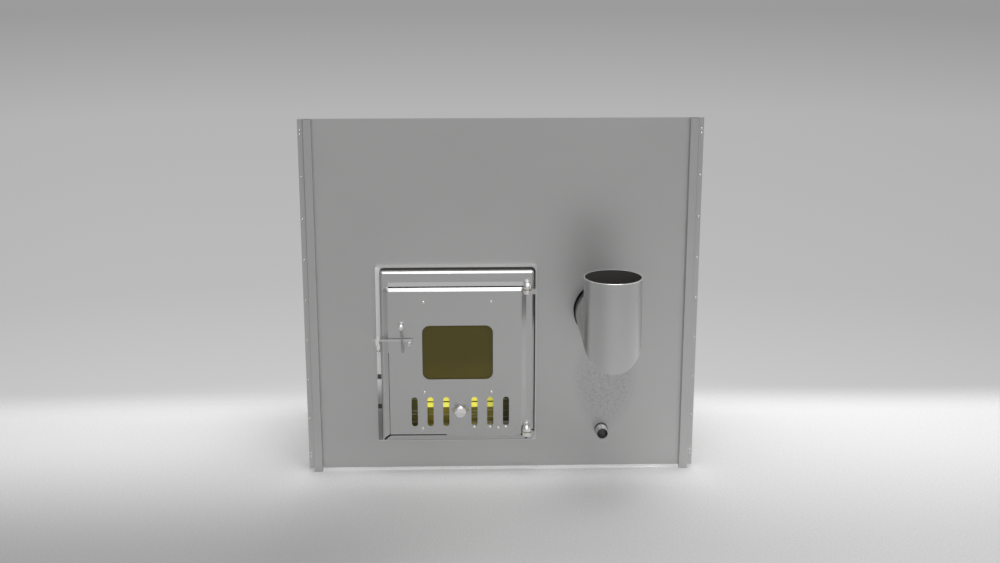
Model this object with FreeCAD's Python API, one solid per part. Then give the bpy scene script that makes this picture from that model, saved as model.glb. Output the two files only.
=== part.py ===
import FreeCAD, Part
import math
import os

# Hot tub stove with a facade panel, a glazed fire door, a mitred flue and a water jacket.
# All lengths are in millimetres. The working datum is the panel's front face and the middle of
# its lower edge: x runs to the right, y from the front to the back, and z up.

# Front panel
panel_width = 860.0
panel_height = 786.0
panel_sheet = 2.0

# Side posts: folded hat channels whose lower ends are the front feet
post_face = 18.5
post_flange = 11.5
post_proud = 10.0
post_sheet = 1.5
foot_drop = 6.0

# Rivets through the post flanges
rivet_head_radius = 2.6
rivet_head_height = 1.6
rivet_shank_radius = 1.6
rivet_tail_radius = 2.4
rivet_tail_height = 1.4
rivet_edge = 4.5
rivet_low = 27.0
rivet_top_drop = 33.0
rivet_intervals = 8
rivet_pair = 9.0
rivet_clearance = 0.1

# Door skin: a pan with a bevelled edge and a raised field
door_width = 332.0
door_height = 386.0
door_centre = -96.0
door_bottom = 74.5
door_corner = 6.0
door_depth = 24.0
door_sheet = 2.5
door_edge_bevel = 5.5
door_seat_gap = 4.0
field_left = 6.0
field_right = 17.0
field_top = 32.0
field_bottom = 6.0
field_rise = 7.0
field_bevel = 10.0
field_corner = 12.0

# Door frame on the panel
frame_plate = 4.0
rim_rise = 6.0
rim_left = 9.7
rim_right = 3.25
rim_top = 3.5
rim_bottom = 4.5
rim_corner = 4.0
door_gap = 4.0
door_gap_left = 1.5
mouth_side = 26.0
mouth_rise = 37.5
mouth_drop = 18.5
neck_sheet = 3.0
neck_clearance = 0.3

# Strike bar on the latch side of the frame
strike_sheet = 2.0
strike_hole = 11.0
strike_hole_width = 7.0
strike_margin = 3.5
strike_hole_low = 83.0
strike_hole_high = 152.0

# Window
window_width = 153.0
window_low = 145.0
window_drop = 119.0
window_corner = 16.0
glass_below = 16.0
glass_above = 40.0
glass_beside = 7.5
glass_thick = 4.0
gasket_thick = 1.5
gasket_width = 7.0

# Glass retainers and the screws that hold them
retainer_sheet = 2.0
retainer_lap = 8.0
retainer_upper_rise = 22.0
retainer_lower_drop = 59.0
retainer_fold_drop = 46.5
retainer_fold_width = 3.0
retainer_fold_depth = 0.8
retainer_extra = 6.0
screw_spread = 146.0
screw_upper_rise = 52.5
screw_lower_drop = 30.5
screw_radius = 2.0
screw_head_radius = 3.6
screw_head_height = 2.0
screw_clearance = 0.2
nut_radius = 4.0
nut_sides = 6
nut_height = 3.0
sleeve_radius = 3.5

# Air slots and the sliding air plate; slot ends are rounded by a share of the slot's width
slot_end_share = 0.499
vent_shift = 5.0
vent_width = 13.0
vent_height = 67.0
vent_low = 36.5
vent_pitch = 34.6
vent_inner_gap = 62.0
vents_per_side = 3
slide_sheet = 1.5
slide_gap = 0.4
slide_travel = 13.0
slide_end_gap = 1.5
slide_top_margin = 19.0
slide_bottom_margin = 14.0
guide_spread = 166.0
guide_low = 30.5
guide_clearance = 0.3
support_height = 16.0
support_extra = 9.0

# Knob of the air plate
knob_rise = 74.0
knob_stem_radius = 4.0
knob_slot_clearance = 0.5
knob_collar_radius = 8.0
knob_collar = 2.0
knob_neck_radius = 6.0
knob_neck = 9.0
knob_cap_radius = 13.0
knob_cap = 7.0
knob_gap = 0.5

# Inner liner and seal rope of the door
liner_sheet = 2.0
liner_gap = 0.2
liner_window_margin = 14.0
liner_inset = 1.0
seal_width = 10.0
seal_inset = 9.0
seal_gap = 0.3
seal_bend = 5.0

# Hinges at the right edge of the door
hinge_inset = 15.0
hinge_stand = 13.0
hinge_low = 14.5
hinge_drop = 46.5
knuckle_radius = 10.0
knuckle_height = 9.0
knuckle_dome = 5.0
hinge_pin_radius = 4.0
hinge_pin_fit = 0.02
hinge_pin_running = 0.05
hinge_washer = 1.5
hinge_washer_gap = 0.15
hinge_arm_clearance = 0.6
hinge_arm_thick = 2.8
hinge_arm_gap = 4.0
hinge_arm_reach = 6.0
hinge_web = 9.0
hinge_web_gap = 0.3

# Latch
latch_pivot_in = 61.25
latch_pivot_rise = 228.0
latch_bolt_radius = 3.0
latch_bolt_running = 0.05
latch_bolt_head_radius = 5.5
latch_bolt_head = 3.0
latch_washer_radius = 7.5
latch_washer = 3.0
latch_thick = 4.0
latch_bar_height = 6.0
latch_bar_rise = 8.0
latch_eye_radius = 8.0
latch_overrun = 7.5
latch_gap = 0.3
handle_radius = 2.0
handle_in = 14.0
handle_below = 18.0
handle_above = 38.0
handle_lean = 3.0
ball_radius = 6.5
ball_bore_depth = 5.0
ball_bore_clearance = 0.05
keeper_sheet = 3.0
keeper_width = 8.0
keeper_height = 34.0
keeper_ledge = 6.0
keeper_lip = 9.0
keeper_lip_gap = 1.5
keeper_screw_radius = 2.0
keeper_screw_head_radius = 3.5
keeper_screw_head = 2.2
keeper_screw_pitch = 24.0

# Flue elbow
flue_radius = 60.0
flue_wall = 1.5
flue_centre = 221.0
flue_height = 362.5
flue_reach = 205.0
flue_top = 492.0
flue_end_radius = 59.2
flue_end = 45.0
flue_end_taper = 2.0
flue_panel_clearance = 3.0
flue_weld_clearance = 0.05

# Drain nipple
drain_radius = 13.45
drain_wall = 2.0
drain_thread_radius = 13.22
drain_thread = 20.0
drain_centre = 224.0
drain_drop = 21.0
drain_proud = 30.0
drain_panel_clearance = 1.6
drain_weld_clearance = 0.05

# Body behind the panel: a firebox inside a water jacket
body_gap = 40.0
plate = 3.0
sill = 2.0
water_gap = 40.0
water_gap_floor = 52.0
jacket_depth = 430.0
firebox_height = 444.0
chamber_margin = 13.0
partition_gap = 48.0
partition_pass_width = 110.0
partition_pass_height = 75.0
partition_pass_margin = 14.0
baffle_drop = 96.0
baffle_front_gap = 105.0

# Grate and ash tray
grate_width = 300.0
grate_depth = 260.0
grate_thick = 12.0
grate_front = 45.0
grate_bar = 16.0
grate_slot = 10.0
grate_border = 18.0
stand_height = 42.0
stand_thick = 5.0
stand_inset = 6.0
tray_gap = 6.0
tray_sheet = 1.5
tray_height = 28.0
tray_front = 15.0
tray_depth = 285.0

# Brackets between the panel and the body
bracket_sheet = 1.5
bracket_flange = 25.0
bracket_lap = 25.0
bracket_margin = 15.0

# Rear water connections
spigot_radius = 30.15
spigot_wall = 2.0
spigot_length = 70.0
spigot_collar_radius = 32.0
spigot_collar = 5.0
spigot_weld_clearance = 0.05
spigot_margin = 75.0

# Legs under the body
leg_tube = 40.0
leg_wall = 2.0
leg_foot = 60.0
leg_foot_thick = 4.0
leg_inset = 30.0


def out(distance):
    # A place in front of the panel, given by its distance from the panel's front face
    return -distance


# Places worked out from the driving dimensions
half_panel = panel_width / 2
door_left = door_centre - door_width / 2
door_right = door_centre + door_width / 2
door_top = door_bottom + door_height
door_rear = frame_plate + door_seat_gap
door_front = door_rear + door_depth
field_front = door_front + field_rise
field_back = field_front - door_sheet

mouth_left = door_left + mouth_side
mouth_right = door_right - mouth_side
mouth_bottom = door_bottom + mouth_rise
mouth_top = door_top - mouth_drop

rim_inner_left = door_left - door_gap_left
rim_inner_right = door_right + door_gap
rim_inner_bottom = door_bottom - door_gap
rim_inner_top = door_top + door_gap
frame_left = rim_inner_left - rim_left
frame_right = rim_inner_right + rim_right
frame_bottom = rim_inner_bottom - rim_bottom
frame_top = rim_inner_top + rim_top
frame_front = frame_plate + rim_rise

window_bottom = door_bottom + window_low
window_top = door_top - window_drop
glass_bottom = window_bottom - glass_below
glass_top = window_top + glass_above
glass_half = window_width / 2 + glass_beside
glass_front = field_back - gasket_thick
retainer_front = glass_front - glass_thick
retainer_back = retainer_front - retainer_sheet
retainer_half = glass_half + retainer_extra

vent_centre = door_centre + vent_shift
vent_bottom = door_bottom + vent_low
vent_top = vent_bottom + vent_height
vent_places = []
for step in range(vents_per_side):
    offset = vent_inner_gap / 2 + step * vent_pitch
    vent_places.append(vent_centre - offset)
    vent_places.append(vent_centre + offset)
slide_front = field_back - slide_gap
slide_back = slide_front - slide_sheet
knob_height = door_bottom + knob_rise

screw_upper = window_top + screw_upper_rise
screw_lower = window_bottom - screw_lower_drop
guide_height = door_bottom + guide_low
upper_screw_places = [(door_centre + side * screw_spread / 2, screw_upper) for side in (-1, 1)]
lower_screw_places = [(door_centre + side * screw_spread / 2, screw_lower) for side in (-1, 1)]
guide_places = [(vent_centre + side * guide_spread / 2, guide_height) for side in (-1, 1)]

hinge_x = door_right - hinge_inset
hinge_y = out(door_front + hinge_stand)
hinge_levels = {"lower": door_bottom + hinge_low, "upper": door_top - hinge_drop}

latch_x = door_left + latch_pivot_in
latch_z = door_bottom + latch_pivot_rise
latch_back = field_front + latch_washer
latch_front = latch_back + latch_thick
latch_tip = frame_left - latch_overrun
latch_bar_bottom = latch_z + latch_bar_rise - latch_bar_height / 2
strike_front = frame_front + strike_sheet

floor_top = mouth_bottom - sill
floor_bottom = floor_top - plate
jacket_bottom = floor_bottom - water_gap_floor - plate
firebox_top = floor_top + firebox_height
jacket_top = firebox_top + plate + water_gap + plate
firebox_half = flue_centre + flue_radius + chamber_margin
jacket_half = firebox_half + plate + water_gap + plate
body_front = panel_sheet + body_gap
firebox_front = body_front + plate
body_back = body_front + jacket_depth
firebox_back = body_back - plate - water_gap - plate
partition_left = mouth_right + partition_gap
partition_right = partition_left + plate
drain_height = floor_bottom - drain_drop

# The finished part stands on z = 0 with its origin below the middle of its outline
front_reach = flue_reach + flue_radius
back_reach = body_back + spigot_length
to_part_frame = FreeCAD.Vector(0, (front_reach - back_reach) / 2, foot_drop)


def box(x0, x1, y0, y1, z0, z1):
    corner = FreeCAD.Vector(min(x0, x1), min(y0, y1), min(z0, z1))
    return Part.makeBox(abs(x1 - x0), abs(y1 - y0), abs(z1 - z0), corner)


def rod_y(x, z, radius, y0, y1):
    start = FreeCAD.Vector(x, min(y0, y1), z)
    return Part.makeCylinder(radius, abs(y1 - y0), start, FreeCAD.Vector(0, 1, 0))


def rod_z(x, y, radius, z0, z1):
    start = FreeCAD.Vector(x, y, min(z0, z1))
    return Part.makeCylinder(radius, abs(z1 - z0), start, FreeCAD.Vector(0, 0, 1))


def round_outline(x0, x1, z0, z1, radius, y):
    # A rectangle with rounded corners, standing in the plane of the panel at depth y
    corner_cut = radius * (1 - math.sqrt(0.5))

    def line(ax, az, bx, bz):
        return Part.LineSegment(FreeCAD.Vector(ax, y, az), FreeCAD.Vector(bx, y, bz)).toShape()

    def bend(ax, az, mx, mz, bx, bz):
        points = [FreeCAD.Vector(ax, y, az), FreeCAD.Vector(mx, y, mz), FreeCAD.Vector(bx, y, bz)]
        return Part.Arc(*points).toShape()

    left = x0 + radius
    right = x1 - radius
    low = z0 + radius
    high = z1 - radius
    edges = [
        line(left, z0, right, z0),
        bend(right, z0, x1 - corner_cut, z0 + corner_cut, x1, low),
        line(x1, low, x1, high),
        bend(x1, high, x1 - corner_cut, z1 - corner_cut, right, z1),
        line(right, z1, left, z1),
        bend(left, z1, x0 + corner_cut, z1 - corner_cut, x0, high),
        line(x0, high, x0, low),
        bend(x0, low, x0 + corner_cut, z0 + corner_cut, left, z0),
    ]
    return Part.Wire(edges)


def round_slab(x0, x1, z0, z1, radius, y0, y1):
    face = Part.Face(round_outline(x0, x1, z0, z1, radius, min(y0, y1)))
    return face.extrude(FreeCAD.Vector(0, abs(y1 - y0), 0))


def bevel_slab(x0, x1, z0, z1, radius, inset, y_wide, y_narrow):
    # A slab whose four sides lean in by the same inset towards the narrow face
    tight = max(radius - inset, radius / 4)
    wide = round_outline(x0, x1, z0, z1, radius, y_wide)
    narrow = round_outline(x0 + inset, x1 - inset, z0 + inset, z1 - inset, tight, y_narrow)
    return Part.makeLoft([wide, narrow], True, True)


def slot_x(x, z, length, width, y0, y1):
    # A level slot with round ends, cut through along y
    half_length = length / 2
    half_width = width / 2
    return round_slab(
        x - half_length, x + half_length, z - half_width, z + half_width, width * slot_end_share, y0, y1
    )


def lathe_y(profile, x, z):
    # Turns a list of (radius, y) points about an axis along y
    points = [FreeCAD.Vector(x + radius, y, z) for radius, y in profile]
    face = Part.Face(Part.makePolygon(points + points[:1]))
    return face.revolve(FreeCAD.Vector(x, 0, z), FreeCAD.Vector(0, 1, 0), 360)


def lathe_z(profile, x, y):
    # Turns a list of (radius, z) points about an upright axis
    points = [FreeCAD.Vector(x + radius, y, z) for radius, z in profile]
    face = Part.Face(Part.makePolygon(points + points[:1]))
    return face.revolve(FreeCAD.Vector(x, y, 0), FreeCAD.Vector(0, 0, 1), 360)


def fuse(shapes):
    joined = shapes[0].fuse(shapes[1:]) if len(shapes) > 1 else shapes[0]
    return joined.removeSplitter()


def save(name, *solids):
    placed = [solid.translated(to_part_frame) for solid in solids]
    shape = placed[0] if len(placed) == 1 else Part.makeCompound(placed)
    shape.exportStep(f"parts/{name}.step")


def rivet_heights():
    top = panel_height - rivet_top_drop
    pitch = (top - rivet_low) / rivet_intervals
    heights = [rivet_low + step * pitch for step in range(rivet_intervals + 1)]
    return heights + [rivet_low + rivet_pair, top + rivet_pair]


def rivet_holes(side, y0, y1):
    x = side * (half_panel - rivet_edge)
    radius = rivet_shank_radius + rivet_clearance
    return Part.makeCompound([rod_y(x, z, radius, y0, y1) for z in rivet_heights()])


def domed_head(x, z, radius, height, y):
    # A low dome that stands on a face at depth y and points to the front
    sphere_radius = (radius ** 2 + height ** 2) / (2 * height)
    ball = Part.makeSphere(sphere_radius, FreeCAD.Vector(x, y + sphere_radius - height, z))
    reach = sphere_radius * 2
    return ball.common(box(x - reach, x + reach, y - reach, y, z - reach, z + reach))


def front_panel():
    sheet = box(-half_panel, half_panel, 0, panel_sheet, 0, panel_height)
    margin = neck_sheet + neck_clearance
    openings = [
        box(
            mouth_left - margin, mouth_right + margin, 0, panel_sheet,
            mouth_bottom - margin, mouth_top + margin,
        ),
        rod_y(flue_centre, flue_height, flue_radius + flue_panel_clearance, 0, panel_sheet),
        rod_y(drain_centre, drain_height, drain_radius + drain_panel_clearance, 0, panel_sheet),
        rivet_holes(-1, 0, panel_sheet),
        rivet_holes(1, 0, panel_sheet),
    ]
    return sheet.cut(openings)


def side_post(side):
    edge = half_panel
    fold = edge - post_flange
    inner = fold - post_face
    face_back = out(post_proud - post_sheet)
    parts = [
        box(side * edge, side * (fold - post_sheet), out(post_sheet), 0, 0, panel_height),
        box(side * fold, side * (fold - post_sheet), out(post_proud), 0, -foot_drop, panel_height),
        box(side * fold, side * inner, out(post_proud), face_back, -foot_drop, panel_height),
        box(side * inner, side * (inner + post_sheet), out(post_proud), 0, -foot_drop, panel_height),
    ]
    return fuse(parts).cut(rivet_holes(side, out(post_sheet), 0))


def rivets(side):
    x = side * (half_panel - rivet_edge)
    tail = panel_sheet + bracket_sheet
    solids = []
    for z in rivet_heights():
        head = domed_head(x, z, rivet_head_radius, rivet_head_height, out(post_sheet))
        shank = rod_y(x, z, rivet_shank_radius, out(post_sheet), tail)
        foot = rod_y(x, z, rivet_tail_radius, tail, tail + rivet_tail_height)
        solids.append(fuse([head, shank, foot]))
    return solids


def panel_bracket(side):
    web = half_panel - bracket_flange
    inner = min(web, jacket_half) - bracket_lap
    low = bracket_margin
    high = panel_height - bracket_margin
    rear_low = max(low, jacket_bottom)
    rear_high = min(high, jacket_top)
    parts = [
        box(side * half_panel, side * web, panel_sheet, panel_sheet + bracket_sheet, low, high),
        box(side * (web + bracket_sheet), side * web, panel_sheet, body_front, low, high),
        box(
            side * inner, side * (web + bracket_sheet), body_front - bracket_sheet, body_front,
            rear_low, rear_high,
        ),
    ]
    return fuse(parts).cut(rivet_holes(side, panel_sheet, panel_sheet + bracket_sheet))


def door_frame():
    outer = round_slab(frame_left, frame_right, frame_bottom, frame_top, rim_corner, out(frame_front), 0)
    recess = round_slab(
        rim_inner_left, rim_inner_right, rim_inner_bottom, rim_inner_top,
        door_corner + door_gap, out(frame_front), out(frame_plate),
    )
    mouth = box(mouth_left, mouth_right, out(frame_plate), 0, mouth_bottom, mouth_top)
    return outer.cut([recess, mouth])


def door_neck():
    outer = box(
        mouth_left - neck_sheet, mouth_right + neck_sheet, 0, firebox_front,
        mouth_bottom - neck_sheet, mouth_top + neck_sheet,
    )
    inner = box(mouth_left, mouth_right, 0, firebox_front, mouth_bottom, mouth_top)
    return outer.cut(inner)


def strike_bar():
    low = frame_bottom + strike_margin
    high = frame_top - strike_margin
    bar = box(frame_left, rim_inner_left, out(strike_front), out(frame_front), low, high)
    middle = (frame_left + rim_inner_left) / 2
    across = strike_hole_width / 2
    half = strike_hole / 2
    holes = []
    for rise in (strike_hole_low, strike_hole_high):
        z = frame_bottom + rise
        holes.append(
            box(middle - across, middle + across, out(strike_front), out(frame_front), z - half, z + half)
        )
    for z in keeper_screw_heights():
        holes.append(
            rod_y(keeper_x(), z, keeper_screw_radius + screw_clearance, out(strike_front), out(frame_front))
        )
    return bar.cut(holes)


def keeper_x():
    return frame_left + keeper_width / 2


def keeper_top():
    return latch_bar_bottom - latch_gap


def keeper_screw_heights():
    middle = keeper_top() - keeper_height / 2
    return [middle - keeper_screw_pitch / 2, middle + keeper_screw_pitch / 2 - keeper_ledge]


def latch_keeper():
    x0 = keeper_x() - keeper_width / 2
    x1 = keeper_x() + keeper_width / 2
    top = keeper_top()
    lip_back = latch_front + keeper_lip_gap
    parts = [
        box(x0, x1, out(strike_front + keeper_sheet), out(strike_front), top - keeper_height, top),
        box(x0, x1, out(lip_back + keeper_sheet), out(strike_front), top - keeper_ledge, top),
        box(x0, x1, out(lip_back + keeper_sheet), out(lip_back), top - keeper_ledge, top + keeper_lip),
    ]
    holes = []
    for z in keeper_screw_heights():
        radius = keeper_screw_radius + screw_clearance
        holes.append(rod_y(keeper_x(), z, radius, out(strike_front + keeper_sheet), out(strike_front)))
    return fuse(parts).cut(holes)


def keeper_screws():
    face = strike_front + keeper_sheet
    solids = []
    for z in keeper_screw_heights():
        head = domed_head(keeper_x(), z, keeper_screw_head_radius, keeper_screw_head, out(face))
        shank = rod_y(keeper_x(), z, keeper_screw_radius, out(face), out(frame_front))
        solids.append(fuse([head, shank]))
    return solids


def field_edges():
    return (
        door_left + field_left, door_right - field_right,
        door_bottom + field_bottom, door_top - field_top,
    )


def field_wall():
    # How far the space inside the raised field lies within the field's foot
    return field_bevel + door_sheet / 2


def door_cavity():
    # The space inside the pan, and inside its raised field
    pan = round_slab(
        door_left + door_sheet, door_right - door_sheet, door_bottom + door_sheet, door_top - door_sheet,
        door_corner - door_sheet / 2, out(door_front - door_edge_bevel), out(door_rear),
    )
    x0, x1, z0, z1 = field_edges()
    inset = field_wall()
    field = round_slab(
        x0 + inset, x1 - inset, z0 + inset, z1 - inset, field_corner / 2,
        out(field_back), out(door_front - door_edge_bevel),
    )
    return [pan, field]


def vent_cutters(y0, y1):
    half = vent_width / 2
    end = vent_width * slot_end_share
    return [round_slab(x - half, x + half, vent_bottom, vent_top, end, y0, y1) for x in vent_places]


def window_cutter(margin, y0, y1):
    half = window_width / 2 + margin
    return round_slab(
        door_centre - half, door_centre + half, window_bottom - margin, window_top + margin,
        window_corner + margin, y0, y1,
    )


def screw_holes(places, y0, y1):
    return [rod_y(x, z, screw_radius + screw_clearance, y0, y1) for x, z in places]


def all_door_screws():
    return upper_screw_places + lower_screw_places + guide_places


def knob_slot(extra, y0, y1):
    width = 2 * (knob_stem_radius + knob_slot_clearance)
    length = width + 2 * slide_travel + extra
    return slot_x(vent_centre, knob_height, length, width, y0, y1)


def door_skin():
    bevel_start = out(door_front - door_edge_bevel)
    pan = round_slab(door_left, door_right, door_bottom, door_top, door_corner, bevel_start, out(door_rear))
    edge = bevel_slab(
        door_left, door_right, door_bottom, door_top, door_corner, door_edge_bevel,
        bevel_start, out(door_front),
    )
    x0, x1, z0, z1 = field_edges()
    field = bevel_slab(x0, x1, z0, z1, field_corner, field_bevel, out(door_front), out(field_front))
    skin = fuse([pan, edge, field]).cut(door_cavity())
    face = (out(field_front), out(field_back))
    cutters = vent_cutters(*face)
    cutters.append(window_cutter(0, *face))
    cutters.append(knob_slot(2 * knob_slot_clearance, *face))
    cutters += screw_holes(all_door_screws(), *face)
    bolt_hole = latch_bolt_radius + screw_clearance
    cutters.append(rod_y(latch_x, latch_z, bolt_hole, *face))
    return skin.cut(cutters)


def window_glass():
    return box(
        door_centre - glass_half, door_centre + glass_half,
        out(glass_front), out(retainer_front), glass_bottom, glass_top,
    )


def glass_gasket():
    outer = box(
        door_centre - glass_half, door_centre + glass_half,
        out(field_back), out(glass_front), glass_bottom, glass_top,
    )
    inner = box(
        door_centre - glass_half + gasket_width, door_centre + glass_half - gasket_width,
        out(field_back), out(glass_front), glass_bottom + gasket_width, glass_top - gasket_width,
    )
    return outer.cut(inner)


def upper_retainer():
    strip = box(
        door_centre - retainer_half, door_centre + retainer_half,
        out(retainer_front), out(retainer_back),
        glass_top - retainer_lap, glass_top + retainer_upper_rise,
    )
    return strip.cut(screw_holes(upper_screw_places, out(retainer_front), out(retainer_back)))


def lower_retainer():
    top = glass_bottom + retainer_lap
    strip = box(
        door_centre - retainer_half, door_centre + retainer_half,
        out(retainer_front), out(retainer_back), top - retainer_lower_drop, top,
    )
    fold = top - retainer_fold_drop
    groove = box(
        door_centre - retainer_half, door_centre + retainer_half,
        out(retainer_front), out(retainer_front - retainer_fold_depth),
        fold - retainer_fold_width / 2, fold + retainer_fold_width / 2,
    )
    holes = screw_holes(lower_screw_places, out(retainer_front), out(retainer_back))
    return strip.cut([groove] + holes)


def door_screws():
    solids = []
    for x, z in all_door_screws():
        head = domed_head(x, z, screw_head_radius, screw_head_height, out(field_front))
        shank = rod_y(x, z, screw_radius, out(field_front), out(retainer_back - nut_height))
        solids.append(fuse([head, shank]))
    return solids


def guide_sleeves():
    solids = []
    for x, z in all_door_screws():
        sleeve = rod_y(x, z, sleeve_radius, out(field_back), out(retainer_front))
        bore = rod_y(x, z, screw_radius + screw_clearance / 2, out(field_back), out(retainer_front))
        solids.append(sleeve.cut(bore))
    return solids


def screw_nuts():
    solids = []
    for x, z in all_door_screws():
        corners = []
        for step in range(nut_sides + 1):
            angle = 2 * math.pi * step / nut_sides
            across = nut_radius * math.cos(angle)
            corners.append(FreeCAD.Vector(x + across, out(retainer_back), z + nut_radius * math.sin(angle)))
        nut = Part.Face(Part.makePolygon(corners)).extrude(FreeCAD.Vector(0, nut_height, 0))
        bore_radius = screw_radius + screw_clearance / 2
        bore = rod_y(x, z, bore_radius, out(retainer_back), out(retainer_back - nut_height))
        solids.append(nut.cut(bore))
    return solids


def slide_support():
    reach = guide_spread / 2 + support_extra
    strip = box(
        vent_centre - reach, vent_centre + reach, out(retainer_front), out(retainer_back),
        guide_height - support_height / 2, guide_height + support_height / 2,
    )
    return strip.cut(screw_holes(guide_places, out(retainer_front), out(retainer_back)))


def air_plate():
    face = (out(slide_front), out(slide_back))
    x0, x1, z0, z1 = field_edges()
    ends = field_wall() + slide_travel + slide_end_gap
    low = vent_bottom - slide_bottom_margin
    high = vent_top + slide_top_margin
    plate_solid = box(x0 + ends, x1 - ends, *face, low, high)
    width = 2 * (sleeve_radius + guide_clearance)
    length = width + 2 * slide_travel
    cutters = vent_cutters(*face)
    cutters += [slot_x(x, z, length, width, *face) for x, z in lower_screw_places + guide_places]
    cutters.append(rod_y(vent_centre, knob_height, screw_radius + screw_clearance, *face))
    return plate_solid.cut(cutters)


def air_knob():
    base = field_front + knob_gap
    neck_start = base + knob_collar
    cap_start = neck_start + knob_neck
    cap_front = cap_start + knob_cap
    bore = screw_radius + screw_clearance
    blind = cap_start
    profile = [
        (bore, out(slide_front)),
        (knob_stem_radius, out(slide_front)),
        (knob_stem_radius, out(base)),
        (knob_collar_radius, out(base)),
        (knob_collar_radius, out(neck_start)),
        (knob_neck_radius, out(neck_start)),
        (knob_neck_radius, out(cap_start - knob_collar)),
        (knob_cap_radius, out(cap_start)),
        (knob_cap_radius, out(cap_start + knob_cap / 2)),
        (knob_cap_radius - knob_cap / 2, out(cap_front)),
        (0, out(cap_front)),
        (0, out(blind)),
        (bore, out(blind)),
    ]
    return lathe_y(profile, vent_centre, knob_height)


def knob_screw():
    tip = field_front + knob_gap + knob_collar + knob_neck
    shank = rod_y(vent_centre, knob_height, screw_radius, out(tip), out(slide_back))
    head_back = out(slide_back - screw_head_height)
    head = rod_y(vent_centre, knob_height, screw_head_radius, out(slide_back), head_back)
    return fuse([shank, head])


def liner_depth():
    return door_rear + liner_inset


def door_liner():
    back = liner_depth()
    front = back + liner_sheet
    edge = door_sheet + liner_gap
    sheet = round_slab(
        door_left + edge, door_right - edge, door_bottom + edge, door_top - edge,
        door_corner - edge / 2, out(front), out(back),
    )
    window = window_cutter(liner_window_margin, out(front), out(back))
    return sheet.cut(window)


def door_seal():
    edge = door_sheet + seal_inset
    inner = edge + seal_width
    face = (out(liner_depth()), out(frame_plate + seal_gap))
    outer_ring = round_slab(
        door_left + edge, door_right - edge, door_bottom + edge, door_top - edge,
        seal_bend + seal_width, *face,
    )
    inner_ring = round_slab(
        door_left + inner, door_right - inner, door_bottom + inner, door_top - inner, seal_bend, *face,
    )
    return outer_ring.cut(inner_ring)


def hinge_fixed(level):
    # The lower knuckle, with the arm that carries it from the frame through the gap beside the door
    top = level + knuckle_height
    arm_left = door_right + hinge_arm_clearance
    arm_right = arm_left + hinge_arm_thick
    arm_back = door_front + hinge_arm_gap
    arm_front = door_front + hinge_stand + hinge_arm_reach
    parts = [
        rod_z(hinge_x, hinge_y, knuckle_radius, level, top),
        box(hinge_x, arm_right, out(arm_front), out(arm_back), level, top),
        box(arm_left, arm_right, out(arm_front), out(frame_plate), level, top),
    ]
    bore = rod_z(hinge_x, hinge_y, hinge_pin_radius + hinge_pin_fit, level, top)
    return fuse(parts).cut(bore)


def hinge_moving(level):
    # The upper knuckle with its domed cap, and the web that carries it from the door's flange
    bottom = level + knuckle_height + hinge_washer + 2 * hinge_washer_gap
    top = bottom + knuckle_height
    barrel = rod_z(hinge_x, hinge_y, knuckle_radius, bottom, top)
    sphere_radius = (knuckle_radius ** 2 + knuckle_dome ** 2) / (2 * knuckle_dome)
    ball_centre = FreeCAD.Vector(hinge_x, hinge_y, top + knuckle_dome - sphere_radius)
    ball = Part.makeSphere(sphere_radius, ball_centre)
    cap = ball.common(rod_z(hinge_x, hinge_y, knuckle_radius, top, top + knuckle_dome))
    web_left = door_right - field_right + hinge_web_gap
    web = box(web_left, web_left + hinge_web, hinge_y, out(door_front), bottom, top)
    bore = rod_z(hinge_x, hinge_y, hinge_pin_radius + hinge_pin_running, bottom, top)
    return fuse([barrel, cap, web]).cut(bore)


def hinge_pin(level):
    top = level + 2 * knuckle_height + hinge_washer + hinge_washer_gap
    return rod_z(hinge_x, hinge_y, hinge_pin_radius, level, top)


def hinge_washer_ring(level):
    bottom = level + knuckle_height + hinge_washer_gap / 2
    top = bottom + hinge_washer
    ring = rod_z(hinge_x, hinge_y, knuckle_radius, bottom, top)
    return ring.cut(rod_z(hinge_x, hinge_y, hinge_pin_radius + hinge_pin_running, bottom, top))


def latch_lever():
    face = (out(latch_front), out(latch_back))
    bar = box(latch_tip, latch_x, *face, latch_bar_bottom, latch_bar_bottom + latch_bar_height)
    eye = rod_y(latch_x, latch_z, latch_eye_radius, *face)
    neck = box(
        latch_x - latch_eye_radius, latch_x + latch_eye_radius, *face,
        latch_z, latch_bar_bottom + latch_bar_height,
    )
    bore = rod_y(latch_x, latch_z, latch_bolt_radius + latch_bolt_running, *face)
    return fuse([bar, eye, neck]).cut(bore)


def handle_points():
    y = out(latch_front + handle_radius)
    x = latch_x - handle_in
    foot = FreeCAD.Vector(x, y, latch_z - handle_below)
    head = FreeCAD.Vector(x - handle_lean, y, latch_z + handle_above)
    return foot, head


def latch_handle():
    foot, head = handle_points()
    direction = head - foot
    rod = Part.makeCylinder(handle_radius, direction.Length, foot, direction)
    flat = latch_front
    side = direction.Length
    keep = box(foot.x - side, foot.x + side, out(flat + 2 * side), out(flat), foot.z - side, head.z + side)
    return rod.common(keep)


def latch_ball():
    foot, head = handle_points()
    direction = (head - foot).normalize()
    centre = head + direction * (ball_radius - ball_bore_depth)
    ball = Part.makeSphere(ball_radius, centre)
    bore_start = head - direction * ball_radius * 2
    bore_length = ball_radius * 2
    bore = Part.makeCylinder(handle_radius + ball_bore_clearance, bore_length, bore_start, direction)
    return ball.cut(bore)


def latch_bolt():
    shank = rod_y(latch_x, latch_z, latch_bolt_radius, out(latch_front + latch_gap), out(field_back))
    head = domed_head(latch_x, latch_z, latch_bolt_head_radius, latch_bolt_head, out(latch_front + latch_gap))
    nut = rod_y(latch_x, latch_z, latch_bolt_head_radius, out(field_back), out(field_back - latch_bolt_head))
    return fuse([shank, head, nut])


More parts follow.
